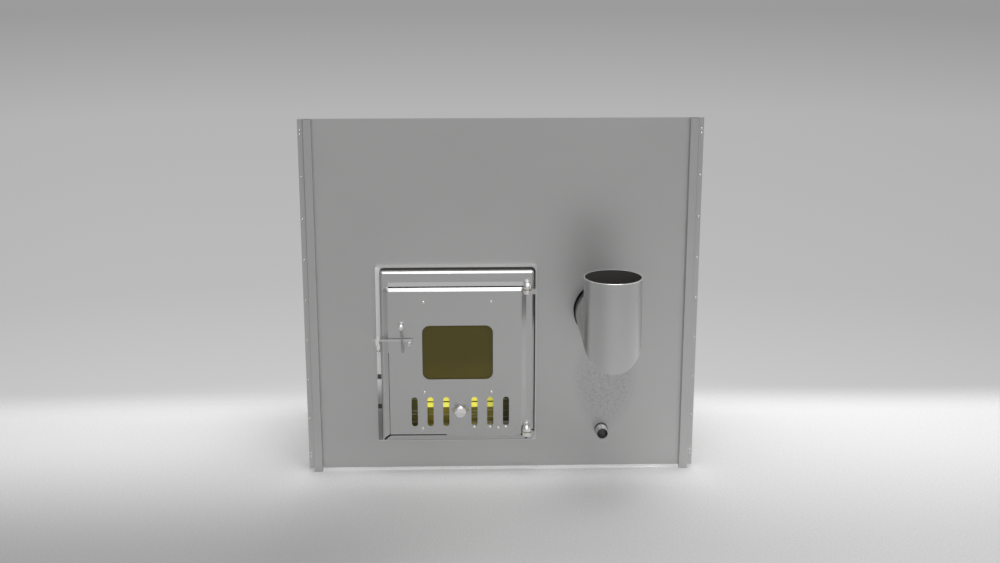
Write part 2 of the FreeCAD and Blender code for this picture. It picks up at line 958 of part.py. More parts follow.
def latch_spacer():
    face = (out(latch_back - latch_gap), out(field_front))
    ring = rod_y(latch_x, latch_z, latch_washer_radius, *face)
    return ring.cut(rod_y(latch_x, latch_z, latch_bolt_radius + latch_bolt_running, *face))


def mitre_keep(above):
    # One side of the plane through the elbow's corner, halfway between the two tubes
    size = 4 * (flue_reach + flue_top + flue_radius)
    block = box(-size, size, -size, size, 0, size)
    turn = FreeCAD.Rotation(FreeCAD.Vector(1, 0, 0), 45 if above else 225)
    block.Placement = FreeCAD.Placement(FreeCAD.Vector(flue_centre, out(flue_reach), flue_height), turn)
    return block


def flue_riser():
    # The top is drawn in a little, so that the next pipe slips over it
    low = flue_height - 2 * flue_radius
    shoulder = flue_top - flue_end
    profile = [
        (flue_radius, low),
        (flue_radius, shoulder - flue_end_taper),
        (flue_end_radius, shoulder),
        (flue_end_radius, flue_top),
        (flue_end_radius - flue_wall, flue_top),
        (flue_end_radius - flue_wall, shoulder),
        (flue_radius - flue_wall, shoulder - flue_end_taper),
        (flue_radius - flue_wall, low),
    ]
    tube = lathe_z(profile, flue_centre, out(flue_reach))
    return tube.common(mitre_keep(True))


def flue_stub():
    y0 = out(flue_reach + 2 * flue_radius)
    outer = rod_y(flue_centre, flue_height, flue_radius, y0, firebox_front)
    inner = rod_y(flue_centre, flue_height, flue_radius - flue_wall, y0, firebox_front)
    return outer.cut(inner).common(mitre_keep(False))


def drain_nipple():
    # A pipe through the panel, with a threaded end for a valve
    bore = drain_radius - drain_wall
    thread_start = out(drain_proud - drain_thread)
    profile = [
        (bore, out(drain_proud)),
        (drain_thread_radius, out(drain_proud)),
        (drain_thread_radius, thread_start),
        (drain_radius, thread_start),
        (drain_radius, firebox_front),
        (bore, firebox_front),
    ]
    return lathe_y(profile, drain_centre, drain_height)


def jacket_front():
    sheet = box(-jacket_half, jacket_half, body_front, firebox_front, jacket_bottom, jacket_top)
    margin = neck_sheet
    openings = [
        box(
            mouth_left - margin, mouth_right + margin, body_front, firebox_front,
            mouth_bottom - margin, mouth_top + margin,
        ),
        rod_y(flue_centre, flue_height, flue_radius + flue_weld_clearance, body_front, firebox_front),
        rod_y(drain_centre, drain_height, drain_radius + drain_weld_clearance, body_front, firebox_front),
    ]
    return sheet.cut(openings)


def spigot_heights():
    return {"inlet": jacket_bottom + spigot_margin, "outlet": jacket_top - spigot_margin}


def jacket_rear():
    sheet = box(-jacket_half, jacket_half, body_back - plate, body_back, jacket_bottom, jacket_top)
    radius = spigot_collar_radius + spigot_weld_clearance
    return sheet.cut([rod_y(0, z, radius, body_back - plate, body_back) for z in spigot_heights().values()])


def water_spigot(height):
    # A hose spigot with a thicker collar where it is welded into the rear plate
    bore = spigot_radius - spigot_wall
    root = body_back - plate
    collar_end = body_back + spigot_collar
    tip = body_back + spigot_length
    profile = [
        (bore, root),
        (spigot_collar_radius, root),
        (spigot_collar_radius, collar_end),
        (spigot_radius, collar_end),
        (spigot_radius, tip),
        (bore, tip),
    ]
    return lathe_y(profile, 0, height)


def smoke_partition():
    sheet = box(partition_left, partition_right, firebox_front, firebox_back, floor_top, firebox_top)
    back = firebox_back - partition_pass_margin
    top = firebox_top - partition_pass_margin
    passage = box(
        partition_left, partition_right, back - partition_pass_width, back, top - partition_pass_height, top
    )
    return sheet.cut(passage)


def grate():
    x0 = door_centre - grate_width / 2
    x1 = door_centre + grate_width / 2
    y0 = firebox_front + grate_front
    y1 = y0 + grate_depth
    z0 = floor_top + stand_height
    slab = box(x0, x1, y0, y1, z0, z0 + grate_thick)
    pitch = grate_bar + grate_slot
    count = int((grate_width - 2 * grate_border + grate_bar) // pitch)
    first = door_centre - (count - 1) * pitch / 2
    slots = []
    for step in range(count):
        x = first + step * pitch
        slots.append(
            box(
                x - grate_slot / 2, x + grate_slot / 2, y0 + grate_border, y1 - grate_border,
                z0, z0 + grate_thick,
            )
        )
    return slab.cut(slots)


def grate_stand(side):
    edge = door_centre + side * (grate_width / 2 - stand_inset)
    y0 = firebox_front + grate_front
    return box(edge, edge - side * stand_thick, y0, y0 + grate_depth, floor_top, floor_top + stand_height)


def ash_tray():
    half = grate_width / 2 - stand_inset - stand_thick - tray_gap
    y0 = firebox_front + tray_front
    y1 = y0 + tray_depth
    outer = box(door_centre - half, door_centre + half, y0, y1, floor_top, floor_top + tray_height)
    inner = box(
        door_centre - half + tray_sheet, door_centre + half - tray_sheet, y0 + tray_sheet, y1 - tray_sheet,
        floor_top + tray_sheet, floor_top + tray_height,
    )
    return outer.cut(inner)


def leg(x, y):
    half = leg_tube / 2
    foot = leg_foot / 2
    low = -foot_drop
    top_of_foot = low + leg_foot_thick
    tube = box(x - half, x + half, y - half, y + half, top_of_foot, jacket_bottom)
    inside = half - leg_wall
    hollow = box(x - inside, x + inside, y - inside, y + inside, top_of_foot, jacket_bottom)
    base = box(x - foot, x + foot, y - foot, y + foot, low, top_of_foot)
    return fuse([tube.cut(hollow), base])


os.makedirs("parts", exist_ok=True)

# Facade
save("front_panel", front_panel())
for name, side in (("left", -1), ("right", 1)):
    save(f"side_post_{name}", side_post(side))
    save(f"rivets_{name}", *rivets(side))
    save(f"panel_bracket_{name}", panel_bracket(side))

# Door frame
save("door_frame", door_frame())
save("door_neck", door_neck())
save("strike_bar", strike_bar())
save("latch_keeper", latch_keeper())
save("keeper_screws", *keeper_screws())

# Door
save("door_skin", door_skin())
save("door_liner", door_liner())
save("door_seal", door_seal())
save("window_glass", window_glass())
save("glass_gasket", glass_gasket())
save("glass_retainer_upper", upper_retainer())
save("glass_retainer_lower", lower_retainer())
save("door_screws", *door_screws())
save("guide_sleeves", *guide_sleeves())
save("screw_nuts", *screw_nuts())
save("slide_support", slide_support())
save("latch_bolt", latch_bolt())
save("latch_spacer", latch_spacer())

# Hinges
for name, level in hinge_levels.items():
    save(f"hinge_frame_{name}", hinge_fixed(level))
    save(f"hinge_door_{name}", hinge_moving(level))
save("hinge_pins", *[hinge_pin(level) for level in hinge_levels.values()])
save("hinge_washers", *[hinge_washer_ring(level) for level in hinge_levels.values()])

# Air slide
save("air_plate", air_plate())
save("air_knob", air_knob())
save("knob_screw", knob_screw())

# Latch
save("latch_lever", latch_lever())
save("latch_handle", latch_handle())
save("latch_ball", latch_ball())

# Flue and drain
save("flue_riser", flue_riser())
save("flue_stub", flue_stub())
save("drain_nipple", drain_nipple())

# Water jacket
save("jacket_front", jacket_front())
save("jacket_rear", jacket_rear())
jacket_y = (firebox_front, body_back - plate)
for name, side in (("left", -1), ("right", 1)):
    wall = box(side * jacket_half, side * (jacket_half - plate), *jacket_y, jacket_bottom, jacket_top)
    save(f"jacket_{name}", wall)
inside = jacket_half - plate
save("jacket_top", box(-inside, inside, *jacket_y, jacket_top - plate, jacket_top))
save("jacket_bottom", box(-inside, inside, *jacket_y, jacket_bottom, jacket_bottom + plate))
for name, height in spigot_heights().items():
    save(f"water_{name}", water_spigot(height))

# Firebox
firebox_y = (firebox_front, firebox_back)
outer_half = firebox_half + plate
for name, side in (("left", -1), ("right", 1)):
    wall = box(side * firebox_half, side * outer_half, *firebox_y, floor_top, firebox_top)
    save(f"firebox_{name}", wall)
save("firebox_floor", box(-outer_half, outer_half, *firebox_y, floor_bottom, floor_top))
save("firebox_top", box(-outer_half, outer_half, *firebox_y, firebox_top, firebox_top + plate))
rear_y = (firebox_back, firebox_back + plate)
save("firebox_rear", box(-outer_half, outer_half, *rear_y, floor_bottom, firebox_top + plate))
save("smoke_partition", smoke_partition())
baffle_z = firebox_top - baffle_drop
baffle_y = firebox_front + baffle_front_gap
save("baffle", box(-firebox_half, partition_left, baffle_y, firebox_back, baffle_z, baffle_z + plate))

# Grate and ash tray
save("grate", grate())
save("grate_stands", *[grate_stand(side) for side in (-1, 1)])
save("ash_tray", ash_tray())

# Legs
leg_x = jacket_half - leg_inset
leg_y = (body_front + leg_inset, body_back - leg_inset)
save("legs", *[leg(side * leg_x, y) for y in leg_y for side in (-1, 1)])
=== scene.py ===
# %% [markdown]
# # A stove for a wood-fired hot tub
# The stove shows a wide stainless front panel with a glazed fire door, a mitred flue and a small
# drain. Behind the panel stand the firebox and its water jacket. The solids of the frame give
# every size and place. This lesson dresses them: folds get their bend radii, castings and turned
# pieces get soft edges, and every surface gets a finish made of nodes.

import math

import bpy
from mathutils import Matrix, Vector


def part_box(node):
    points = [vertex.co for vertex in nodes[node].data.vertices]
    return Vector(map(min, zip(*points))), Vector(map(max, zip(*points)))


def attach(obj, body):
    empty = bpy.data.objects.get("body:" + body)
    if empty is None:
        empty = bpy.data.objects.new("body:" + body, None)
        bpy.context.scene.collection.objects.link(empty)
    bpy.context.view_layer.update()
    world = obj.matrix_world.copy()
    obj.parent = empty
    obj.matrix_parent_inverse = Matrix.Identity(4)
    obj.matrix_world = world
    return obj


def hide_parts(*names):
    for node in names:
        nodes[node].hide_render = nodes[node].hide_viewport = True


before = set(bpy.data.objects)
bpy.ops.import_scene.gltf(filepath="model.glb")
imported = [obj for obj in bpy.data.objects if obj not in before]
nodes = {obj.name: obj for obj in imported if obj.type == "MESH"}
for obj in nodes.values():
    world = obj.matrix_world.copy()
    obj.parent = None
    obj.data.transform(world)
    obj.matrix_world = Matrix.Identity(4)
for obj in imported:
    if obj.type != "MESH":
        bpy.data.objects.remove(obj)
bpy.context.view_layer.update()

# %% [markdown]
# ## A place to measure from
# The maker of such a panel measures from its front face and from the middle of its lower edge.
# We do the same, in millimetres, so that a place reads as it would on a workshop drawing. The
# panel itself tells where that datum lies in the frame.

# %% The datum on the panel
MM = 0.001
panel_low, panel_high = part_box("front_panel")


def at(x, y, z):
    return Vector((x * MM, panel_low.y + y * MM, panel_low.z + z * MM))


def drawn(node):
    # A node's two corners in millimetres from the datum
    low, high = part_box(node)
    shift = Vector((0, panel_low.y, panel_low.z))
    return (low - shift) / MM, (high - shift) / MM


def middle(low, high):
    return (low + high) / 2


print("panel:", [round(v / MM, 1) for v in panel_high - panel_low], "mm")

# %% [markdown]
# ## Working as by hand
# Every new piece starts from a primitive and is shaped with the tools of edit mode. Operators act
# on all that is selected, so these helpers first clear the selection, and then pick faces or
# edges by where they are and which way they look.

# %% Selecting and extruding
def clear_selection():
    if bpy.context.object and bpy.context.object.mode != "OBJECT":
        bpy.ops.object.mode_set(mode="OBJECT")
    bpy.ops.object.select_all(action="DESELECT")


def focus(piece):
    clear_selection()
    piece.select_set(True)
    bpy.context.view_layer.objects.active = piece


def choose(piece, kind, test):
    # Enters edit mode with the faces, edges or corners selected whose place and direction pass
    focus(piece)
    bpy.ops.object.mode_set(mode="EDIT")
    bpy.ops.mesh.select_mode(type=kind)
    bpy.ops.mesh.select_all(action="DESELECT")
    bpy.ops.object.mode_set(mode="OBJECT")
    mesh = piece.data
    if kind == "FACE":
        for side in mesh.polygons:
            side.select = bool(test(side.center, side.normal))
    elif kind == "EDGE":
        for edge in mesh.edges:
            start, end = (mesh.vertices[i].co for i in edge.vertices)
            edge.select = bool(test(middle(start, end), (end - start).normalized()))
    else:
        for vertex in mesh.vertices:
            vertex.select = bool(test(vertex.co, vertex.normal))
    bpy.ops.object.mode_set(mode="EDIT")


def leave_edit():
    bpy.ops.object.mode_set(mode="OBJECT")


def extrude(step):
    bpy.ops.mesh.extrude_region_move(TRANSFORM_OT_translate={"value": step})


print("tools to select:", [tool.__name__ for tool in (clear_selection, focus, choose, extrude)])

# %% [markdown]
# ## Primitives at their size and place
# A block is laid between two corners and a bar between two points. Their scale and turn are
# applied at once, so that later steps measure in the frame's own axes.

# %% Blocks and bars
def made_at_once(name):
    piece = bpy.context.object
    piece.name = name
    bpy.ops.object.transform_apply(location=True, rotation=True, scale=True)
    return piece


def block(name, low, high):
    clear_selection()
    bpy.ops.mesh.primitive_cube_add(size=1, location=middle(low, high))
    bpy.context.object.scale = high - low
    return made_at_once(name)


def round_bar(name, radius, start, end, sides=64):
    clear_selection()
    run = end - start
    bpy.ops.mesh.primitive_cylinder_add(
        vertices=sides, radius=radius * MM, depth=run.length, location=middle(start, end),
        rotation=run.to_track_quat("Z", "Y").to_euler(),
    )
    return made_at_once(name)


print("primitives:", block.__name__, round_bar.__name__)

# %% [markdown]
# ## Cuts and soft edges
# Openings are cut with a Boolean modifier. No real edge is quite sharp, so most pieces end with a
# narrow bevel, and weighted normals keep their flat faces flat.

# %% Modifiers, cuts and bevels
SMOOTH_BELOW = 40


def modify(piece, kind, **settings):
    focus(piece)
    modifier = piece.modifiers.new(kind.title(), kind)
    for key, value in settings.items():
        setattr(modifier, key, value)
    bpy.ops.object.modifier_apply(modifier=modifier.name)


def gather(name, pieces):
    clear_selection()
    for piece in pieces:
        piece.select_set(True)
    bpy.context.view_layer.objects.active = pieces[0]
    if len(pieces) > 1:
        bpy.ops.object.join()
    pieces[0].name = name
    return pieces[0]


def combine(piece, others, operation):
    tool = gather("tool", others)
    modify(piece, "BOOLEAN", operation=operation, object=tool, solver="EXACT")
    bpy.data.objects.remove(tool, do_unlink=True)


def soften(piece, width, segments=2, angle=30):
    if width:
        modify(
            piece, "BEVEL", width=width * MM, segments=segments, limit_method="ANGLE",
            angle_limit=math.radians(angle), use_clamp_overlap=True,
        )
    focus(piece)
    bpy.ops.object.shade_smooth_by_angle(angle=math.radians(SMOOTH_BELOW))
    modify(piece, "WEIGHTED_NORMAL", keep_sharp=True)


def round_corners(piece, along, radius, segments=6):
    # Rounds the edges of a block that run along one axis
    choose(piece, "EDGE", lambda place, run: abs(run[along]) > 0.99)
    bpy.ops.mesh.bevel(offset=radius * MM, segments=segments, affect="EDGES")
    leave_edit()


print("edges are smooth below", SMOOTH_BELOW, "degrees")

# %% [markdown]
# ## A lathe
# Knobs, screws, rivets and pipes are turned. A ring is extruded from step to step along an axis
# and scaled to each radius, as a lathe tool would move. A Screw modifier could spin a profile too,
# but the steps keep every size readable as a pair of radius and distance.

# %% Turned pieces
SAME_PLACE = 0.00001


def turned(name, centre, profile, along=1, sides=48):
    # The profile holds (radius, distance) pairs in millimetres
    run = Vector((0, 0, 0))
    run[along] = 1
    radius, reach = profile[0]
    clear_selection()
    bpy.ops.mesh.primitive_circle_add(
        vertices=sides, radius=radius * MM, fill_type="NOTHING", location=centre + run * reach * MM,
        rotation=run.to_track_quat("Z", "Y").to_euler(),
    )
    piece = made_at_once(name)
    bpy.ops.object.mode_set(mode="EDIT")
    bpy.ops.mesh.select_mode(type="EDGE")
    bpy.ops.mesh.select_all(action="SELECT")
    for next_radius, next_reach in profile[1:]:
        extrude(run * (next_reach - reach) * MM)
        ratio = [next_radius / radius] * 3
        ratio[along] = 1
        bpy.ops.transform.resize(value=ratio, center_override=centre + run * next_reach * MM)
        radius, reach = next_radius, next_reach
    bpy.ops.mesh.select_all(action="SELECT")
    bpy.ops.mesh.fill_holes(sides=0)
    bpy.ops.mesh.remove_doubles(threshold=SAME_PLACE)
    bpy.ops.mesh.select_all(action="SELECT")
    bpy.ops.mesh.normals_make_consistent(inside=False)
    leave_edit()
    return piece


print("lathe:", turned.__name__, "merges corners closer than", SAME_PLACE / MM, "mm")

# %% [markdown]
# ## Copies and finished pieces
# What repeats is modelled once and copied, each copy with its own mesh. A finished piece gets its
# finishes, the body that it rides on and the nodes of the frame that it stands for.

# %% Copying, settling and painting
def copy_to(piece, offset):
    focus(piece)
    bpy.ops.object.duplicate(linked=False)
    twin = bpy.context.object
    twin.data.transform(Matrix.Translation(offset))
    return twin


def settle(piece, body, finish, slot, *replaced):
    clear_selection()
    piece.data.materials.clear()
    for one in finish if isinstance(finish, (list, tuple)) else [finish]:
        piece.data.materials.append(one)
    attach(piece, body)
    if replaced:
        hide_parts(*replaced)
    print(f"{piece.name}: {len(piece.data.polygons)} faces, rides on {body}")


def paint(piece, which):
    # Each face gets the finish whose number the test gives for its place and normal
    for side in piece.data.polygons:
        side.material_index = int(which(side.center, side.normal))


# %% [markdown]
# ## Shader maths as plain expressions
# A finish is a small sheet of nodes. This class wraps one socket, so that sums and products of
# values read as ordinary expressions, and one method adds any other node with its settings.

# %% Sockets that can be added and multiplied
class Signal:
    def __init__(self, tree, socket):
        self.tree = tree
        self.socket = socket

    def node(self, kind, inputs, settings=None, output=0):
        made = self.tree.nodes.new(kind)
        for key, value in (settings or {}).items():
            if key == "stops":
                while len(made.color_ramp.elements) < len(value):
                    made.color_ramp.elements.new(1.0)
                for element, (place, colour) in zip(made.color_ramp.elements, value):
                    element.position = place
                    element.color = colour
            else:
                setattr(made, key, value)
        for key, value in inputs.items():
            if isinstance(value, Signal):
                self.tree.links.new(value.socket, made.inputs[key])
            else:
                made.inputs[key].default_value = value
        return Signal(self.tree, made.outputs[output])

    def math(self, operation, first, second=0.0):
        return self.node("ShaderNodeMath", {0: first, 1: second}, {"operation": operation})

    def __add__(self, other):
        return self.math("ADD", self, other)

    def __sub__(self, other):
        return self.math("SUBTRACT", self, other)

    def __rsub__(self, other):
        return self.math("SUBTRACT", other, self)

    def __mul__(self, other):
        return self.math("MULTIPLY", self, other)

    def __truediv__(self, other):
        return self.math("DIVIDE", self, other)

    def __abs__(self):
        return self.math("ABSOLUTE", self)

    __radd__ = __add__
    __rmul__ = __mul__

    def sine(self):
        return self.math("SINE", self)

    def least(self, other):
        return self.math("MINIMUM", self, other)

    def most(self, other):
        return self.math("MAXIMUM", self, other)

    def clamp(self):
        return self.node("ShaderNodeClamp", {0: self})

    def band(self, low, high):
        # Runs from 0 at low to 1 at high, softly
        return self.node(
            "ShaderNodeMapRange", {"Value": self, "From Min": low, "From Max": high},
            {"interpolation_type": "SMOOTHSTEP"},
        )

    def blend(self, first, second):
        # This value mixes two colours
        return self.node(
            "ShaderNodeMix", {0: self, 6: first, 7: second}, {"data_type": "RGBA"}, output=2
        )

    def noise(self, scale, detail=3.0, rough=0.55, stretch=(1, 1, 1)):
        vector = self
        if stretch != (1, 1, 1):
            vector = self.node("ShaderNodeMapping", {"Vector": self, "Scale": stretch})
        return self.node(
            "ShaderNodeTexNoise",
            {"Vector": vector, "Scale": scale, "Detail": detail, "Roughness": rough},
        )

    def axis(self, index):
        return self.node("ShaderNodeSeparateXYZ", {0: self}, output=index)

    def bump(self, strength, distance):
        return self.node("ShaderNodeBump", {"Height": self, "Strength": strength, "Distance": distance})


print("shader maths:", [name for name in vars(Signal) if not name.startswith("__")])

# %% [markdown]
# ## A sheet of nodes for each finish
# A value that is the same all over a piece goes straight on the shader's socket. What changes over
# the surface is fed in from the noise and the masks.

# %% New finishes
def grey(value, warm=0.0):
    return (value * (1 + warm), value, value * (1 - warm), 1.0)


def new_finish(name, **fixed):
    # Returns the material, its shader and the Object coordinates
    material = bpy.data.materials.new(name)
    material.use_nodes = True
    tree = material.node_tree
    shader = tree.nodes["Principled BSDF"]
    for key, value in fixed.items():
        shader.inputs[key.replace("_", " ")].default_value = value
    coordinates = tree.nodes.new("ShaderNodeTexCoord")
    return material, shader, Signal(tree, coordinates.outputs["Object"])


def feed(shader, **signals):
    for key, signal in signals.items():
        signal.tree.links.new(signal.socket, shader.inputs[key.replace("_", " ")])


print("a middle grey is written", grey(0.5))

# %% [markdown]
# ## Drips, soot and painted shade
# Below the flue, drips from the chimney have left darker stains on the panel, with small bright
# specks in them. On the pipe just in front of the hole a dark band with a ragged edge is painted:
# soot, and painted shade of the gap round the pipe. Painted maps would need images, so noise makes
# the marks, and ellipses in the panel's plane keep them in place.

# %% Marks round the flue
flue_low, flue_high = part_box("flue_stub")
FLUE_AT = (middle(flue_low.x, flue_high.x), middle(flue_low.z, flue_high.z))
DRIPS_AT = (FLUE_AT[0] + 0.010, flue_low.z - 0.098)
STAINS_HALF = (0.080, 0.130)
SPECKS_HALF = (0.070, 0.120)
SOOT_SHADE_HALF = (0.062, 0.062)
SOOT_SHADE_ENDS, SOOT_SHADE_FULL = panel_low.y - 0.044, panel_low.y - 0.028
SOOT_SHADE_RAGGED = 0.030


def inside(place, centre, half, core=0.1):
    # Falls from 1 to 0 between the core of an ellipse in the panel's plane and its rim
    across = (place.axis(0) - centre[0]) / half[0]
    upward = (place.axis(2) - centre[1]) / half[1]
    return 1 - (across * across + upward * upward).band(core, 1.0)


def drips_and_gap_shade(place, colour, tone):
    blotches = place.noise(150, 3, 0.7).band(0.46, 0.64)
    stains = (0.45 + 0.55 * blotches) * inside(place, DRIPS_AT, STAINS_HALF)
    colour = stains.blend(colour, grey(tone * 0.76, -0.01))
    specks = place.noise(260, 3, 0.7).band(0.53, 0.66) * 0.55 * inside(place, DRIPS_AT, SPECKS_HALF)
    colour = specks.blend(colour, grey(tone * 1.30))
    # A dark band on the pipe by the hole: soot and painted shade of the gap round it
    depth = place.axis(1) + SOOT_SHADE_RAGGED * (place.noise(45, 4, 0.65) - 0.5)
    pipe_soot_and_shade = depth.band(SOOT_SHADE_ENDS, SOOT_SHADE_FULL) * inside(place, FLUE_AT, SOOT_SHADE_HALF, 0.98)
    return pipe_soot_and_shade.blend(colour, grey(0.045, 0.04))


print("drips around", [round(v / MM) for v in DRIPS_AT], "mm")

# %% [markdown]
# ## Satin stainless steel
# The panel, the door and the flue are ground stainless sheet. From a few steps away it is an even
# grey that blurs what it mirrors, a little unevenly, and close up it shows fine grinding lines.
# Stretched noise gives such lines at any size, so the grain, the specks and the faint clouds are
# three layers of noise. Each sheet has its own tone, and its grain runs as it was ground.

# %% Satin steel
def satin_steel(name, tone, rough, lines=(4, 40, 90), around_flue=False):
    material, shader, place = new_finish(name, Metallic=1.0)
    grain = place.noise(28, 4, 0.6, stretch=lines)
    cloud = place.noise(4, 2, 0.5)
    speck = place.noise(420, 2, 0.6)
    tint = (cloud * 0.5 + grain * 0.5).band(0.2, 0.8)
    colour = tint.blend(grey(tone * 0.97, 0.002), grey(tone * 1.03, 0.004))
    feed(
        shader,
        Base_Color=drips_and_gap_shade(place, colour, tone) if around_flue else colour,
        Roughness=rough + 0.03 * (cloud - 0.5) + 0.10 * (grain - 0.5) + 0.05 * (speck - 0.5),
        Normal=(grain * 0.35 + speck * 0.55).bump(0.05, 0.002),
    )
    return material


UPRIGHT = (60, 60, 4)
panel_steel = satin_steel("panel_steel", 0.592, 0.40, around_flue=True)
door_steel = satin_steel("door_steel", 0.590, 0.34)
flue_steel = satin_steel("flue_steel", 0.620, 0.34, lines=(40, 40, 4))
stub_steel = satin_steel("stub_steel", 0.535, 0.34, lines=(40, 4, 40), around_flue=True)
post_steel = satin_steel("post_steel", 0.580, 0.38, lines=UPRIGHT)
rod_steel = satin_steel("rod_steel", 0.42, 0.30, lines=UPRIGHT)
frame_steel = satin_steel("frame_steel", 0.72, 0.44)
lever_steel = satin_steel("lever_steel", 0.68, 0.30)
print("satin finishes:", [name for name in bpy.data.materials.keys() if name.endswith("_steel")])

# %% [markdown]
# ## Polished steel
# The keeper, the knob, the hinge knuckles, the ball and the fasteners are polished. They mirror the
# room, the ball and the fasteners less sharply. Hair scratches and faint finger marks keep them
# from looking like liquid.

# %% Polished steel
def polished_steel(name, tone, rough):
    material, shader, place = new_finish(name, Metallic=1.0)
    hair = place.noise(60, 4, 0.7, stretch=(1, 1, 14))
    marks = place.noise(22, 3, 0.6).band(0.45, 0.75)
    feed(
        shader,
        Base_Color=marks.blend(grey(tone, 0.006), grey(tone * 0.92, 0.012)),
        Roughness=rough + 0.08 * marks + 0.05 * (hair - 0.5),
        Normal=hair.bump(0.03, 0.0006),
    )
    return material


bright_steel = polished_steel("bright_steel", 0.96, 0.16)
fastener_steel = polished_steel("fastener_steel", 0.80, 0.22)
ball_steel = polished_steel("ball_steel", 0.98, 0.34)
print("polished finishes:", bright_steel.name, fastener_steel.name, ball_steel.name)

# %% [markdown]
# ## The strike bar's finish
# The bar beside the door is ground across. Its colour is bright at its upper end and darker
# towards its lower end, in two steps at the holes. A mask of height drives the colour and the
# roughness.

# %% Strike steel
LOWER_DARK_STEP = (0.158, 0.214)
LOWEST_DARK_STEP = (0.130, 0.150)
strike_steel, shader, place = new_finish("strike_steel", Metallic=1.0)
height = place.axis(2) - panel_low.z
# Darker towards the lower end, in two steps at the holes
darker_below = 0.70 * (1 - height.band(*LOWER_DARK_STEP)) + 0.12 * (1 - height.band(*LOWEST_DARK_STEP))
ground_lines = place.noise(30, 3, 0.6, stretch=(1, 1, 30))
feed(
    shader,
    Base_Color=(darker_below + 0.1 * (ground_lines - 0.5)).clamp().blend(grey(0.97), grey(0.12)),
    Roughness=0.58 - 0.2 * darker_below + 0.06 * (ground_lines - 0.5),
    Normal=ground_lines.bump(0.1, 0.0006),
)
print("strike finish:", strike_steel.name)

# %% [markdown]
# ## Plate steel of the body
# The body is welded from plate as it comes from the mill: duller than the panel, with cloudy
# patches. Beside a weld the heat leaves a straw and blue band, so the finish reads how far a
# point lies from the edges of the jacket.

# %% Mill plate with heat colours beside the welds
STRAW = (0.50, 0.36, 0.17, 1)
BLUE = (0.20, 0.22, 0.34, 1)
body_low, front_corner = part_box("jacket_front")
body_high = Vector((front_corner.x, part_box("jacket_rear")[1].y, front_corner.z))
body_middle = middle(body_low, body_high)
body_half = body_high - body_middle


def distance_to_edge(place):
    # The second smallest of the three gaps to the box's sides is the distance to its nearest edge
    first, second, third = (
        body_half[index] - abs(place.axis(index) - body_middle[index]) for index in range(3)
    )
    return first.least(second).most(first.most(second).least(third))


def mill_plate(name, heated):
    material, shader, place = new_finish(name, Metallic=1.0)
    cloud = place.noise(7, 4, 0.6)
    roll = place.noise(14, 4, 0.6, stretch=(1, 1, 24))
    colour = cloud.band(0.3, 0.7).blend(grey(0.44, 0.01), grey(0.55, 0.015))
    if heated:
        edge = distance_to_edge(place) + 0.012 * (cloud - 0.5)
        colour = ((1 - edge.band(0.010, 0.034)) * 0.75).blend(colour, STRAW)
        colour = ((1 - edge.band(0.004, 0.016)) * 0.7).blend(colour, BLUE)
    feed(
        shader,
        Base_Color=colour,
        Roughness=0.40 + 0.16 * (cloud - 0.5) + 0.10 * (roll - 0.5),
        Normal=(roll * 0.5 + cloud * 2).bump(0.08, 0.002),
    )
    return material


jacket_steel = mill_plate("jacket_steel", True)
bracket_steel = mill_plate("bracket_steel", False)
print("mill plate:", jacket_steel.name, bracket_steel.name)

# %% [markdown]
# ## Steel that has seen the fire
# Inside, the plates are browned by heat and dusted with soot. Soot lies thickest in patches, and
# it takes the shine away, so one mask drives the colour, the roughness and the metal together.
# Soot that the draught has washed is greyer, in the flue's mouth. The same grey dark is laid in the
# gap round the door: soot, and painted shade of the gap. The darkest soot finish also paints shade
# into the door's seams and groove and into the fold of the glass strip.

# %% Fired steel and soot
def fired_steel(name, soot_share, tone=0.30, black=0.014):
    material, shader, place = new_finish(name, Specular_IOR_Level=0.2)
    patch = place.noise(11, 5, 0.65)
    fine = place.noise(160, 3, 0.6)
    soot = (patch * 0.8 + fine * 0.2).band(0.62 - soot_share * 0.5, 0.78 - soot_share * 0.4)
    brown = place.noise(5, 3, 0.5).band(0.35, 0.65)
    steel = brown.blend(grey(tone, 0.03), (tone * 0.82, tone * 0.62, tone * 0.42, 1))
    feed(
        shader,
        Base_Color=soot.blend(steel, grey(black, 0.05)),
        Metallic=(1 - 0.95 * soot).clamp(),
        Roughness=0.42 + 0.45 * soot + 0.08 * (fine - 0.5),
        Normal=(fine * 0.6 + patch).bump(0.25, 0.001),
    )
    return material


fired = fired_steel("fired_steel", 0.45)
# Soot in the firebox; on the door it is painted shade in the seams, the groove and the strip's fold
soot_and_shade = fired_steel("soot_and_shade_steel", 0.95)
flue_soot = fired_steel("flue_soot", 0.95, black=0.10)
# Soot and painted shade for the gap round the door and the floors of the strike holes
gap_shade_and_soot = fired_steel("gap_shade_and_soot", 0.95, black=0.24)
warm_steel = fired_steel("warm_steel", 0.12, 0.36)
print("fired finishes:", fired.name, soot_and_shade.name, flue_soot.name, gap_shade_and_soot.name, warm_steel.name)

# %% [markdown]
# ## Yellow zinc
# The strips that hold the glass are yellow passivated, a gold that shifts a little from place to
# place. They are given a faint painted glow, so that they stay bright behind the slots. Towards the
# hinges the gold is painted darker, as shade.

# %% Yellow zinc
GOLD_SHADED = (-0.042, -0.034)
# The emission is a painted glow
yellow_zinc, shader, place = new_finish("yellow_zinc", Metallic=0.1, Emission_Strength=0.5)
drift = place.noise(35, 3, 0.6)
gold = drift.band(0.3, 0.7).blend((0.97, 0.94, 0.16, 1), (0.95, 0.88, 0.10, 1))
# Painted shade: darker towards the hinge end
gold = (0.4 * place.axis(0).band(*GOLD_SHADED)).blend(gold, (0.30, 0.28, 0.02, 1))
feed(
    shader,
    Base_Color=gold,
    Emission_Color=gold,
    Roughness=0.32 + 0.15 * (drift - 0.5),
    Normal=place.noise(300, 2, 0.5).bump(0.04, 0.0006),
)
print("zinc finish:", yellow_zinc.name)
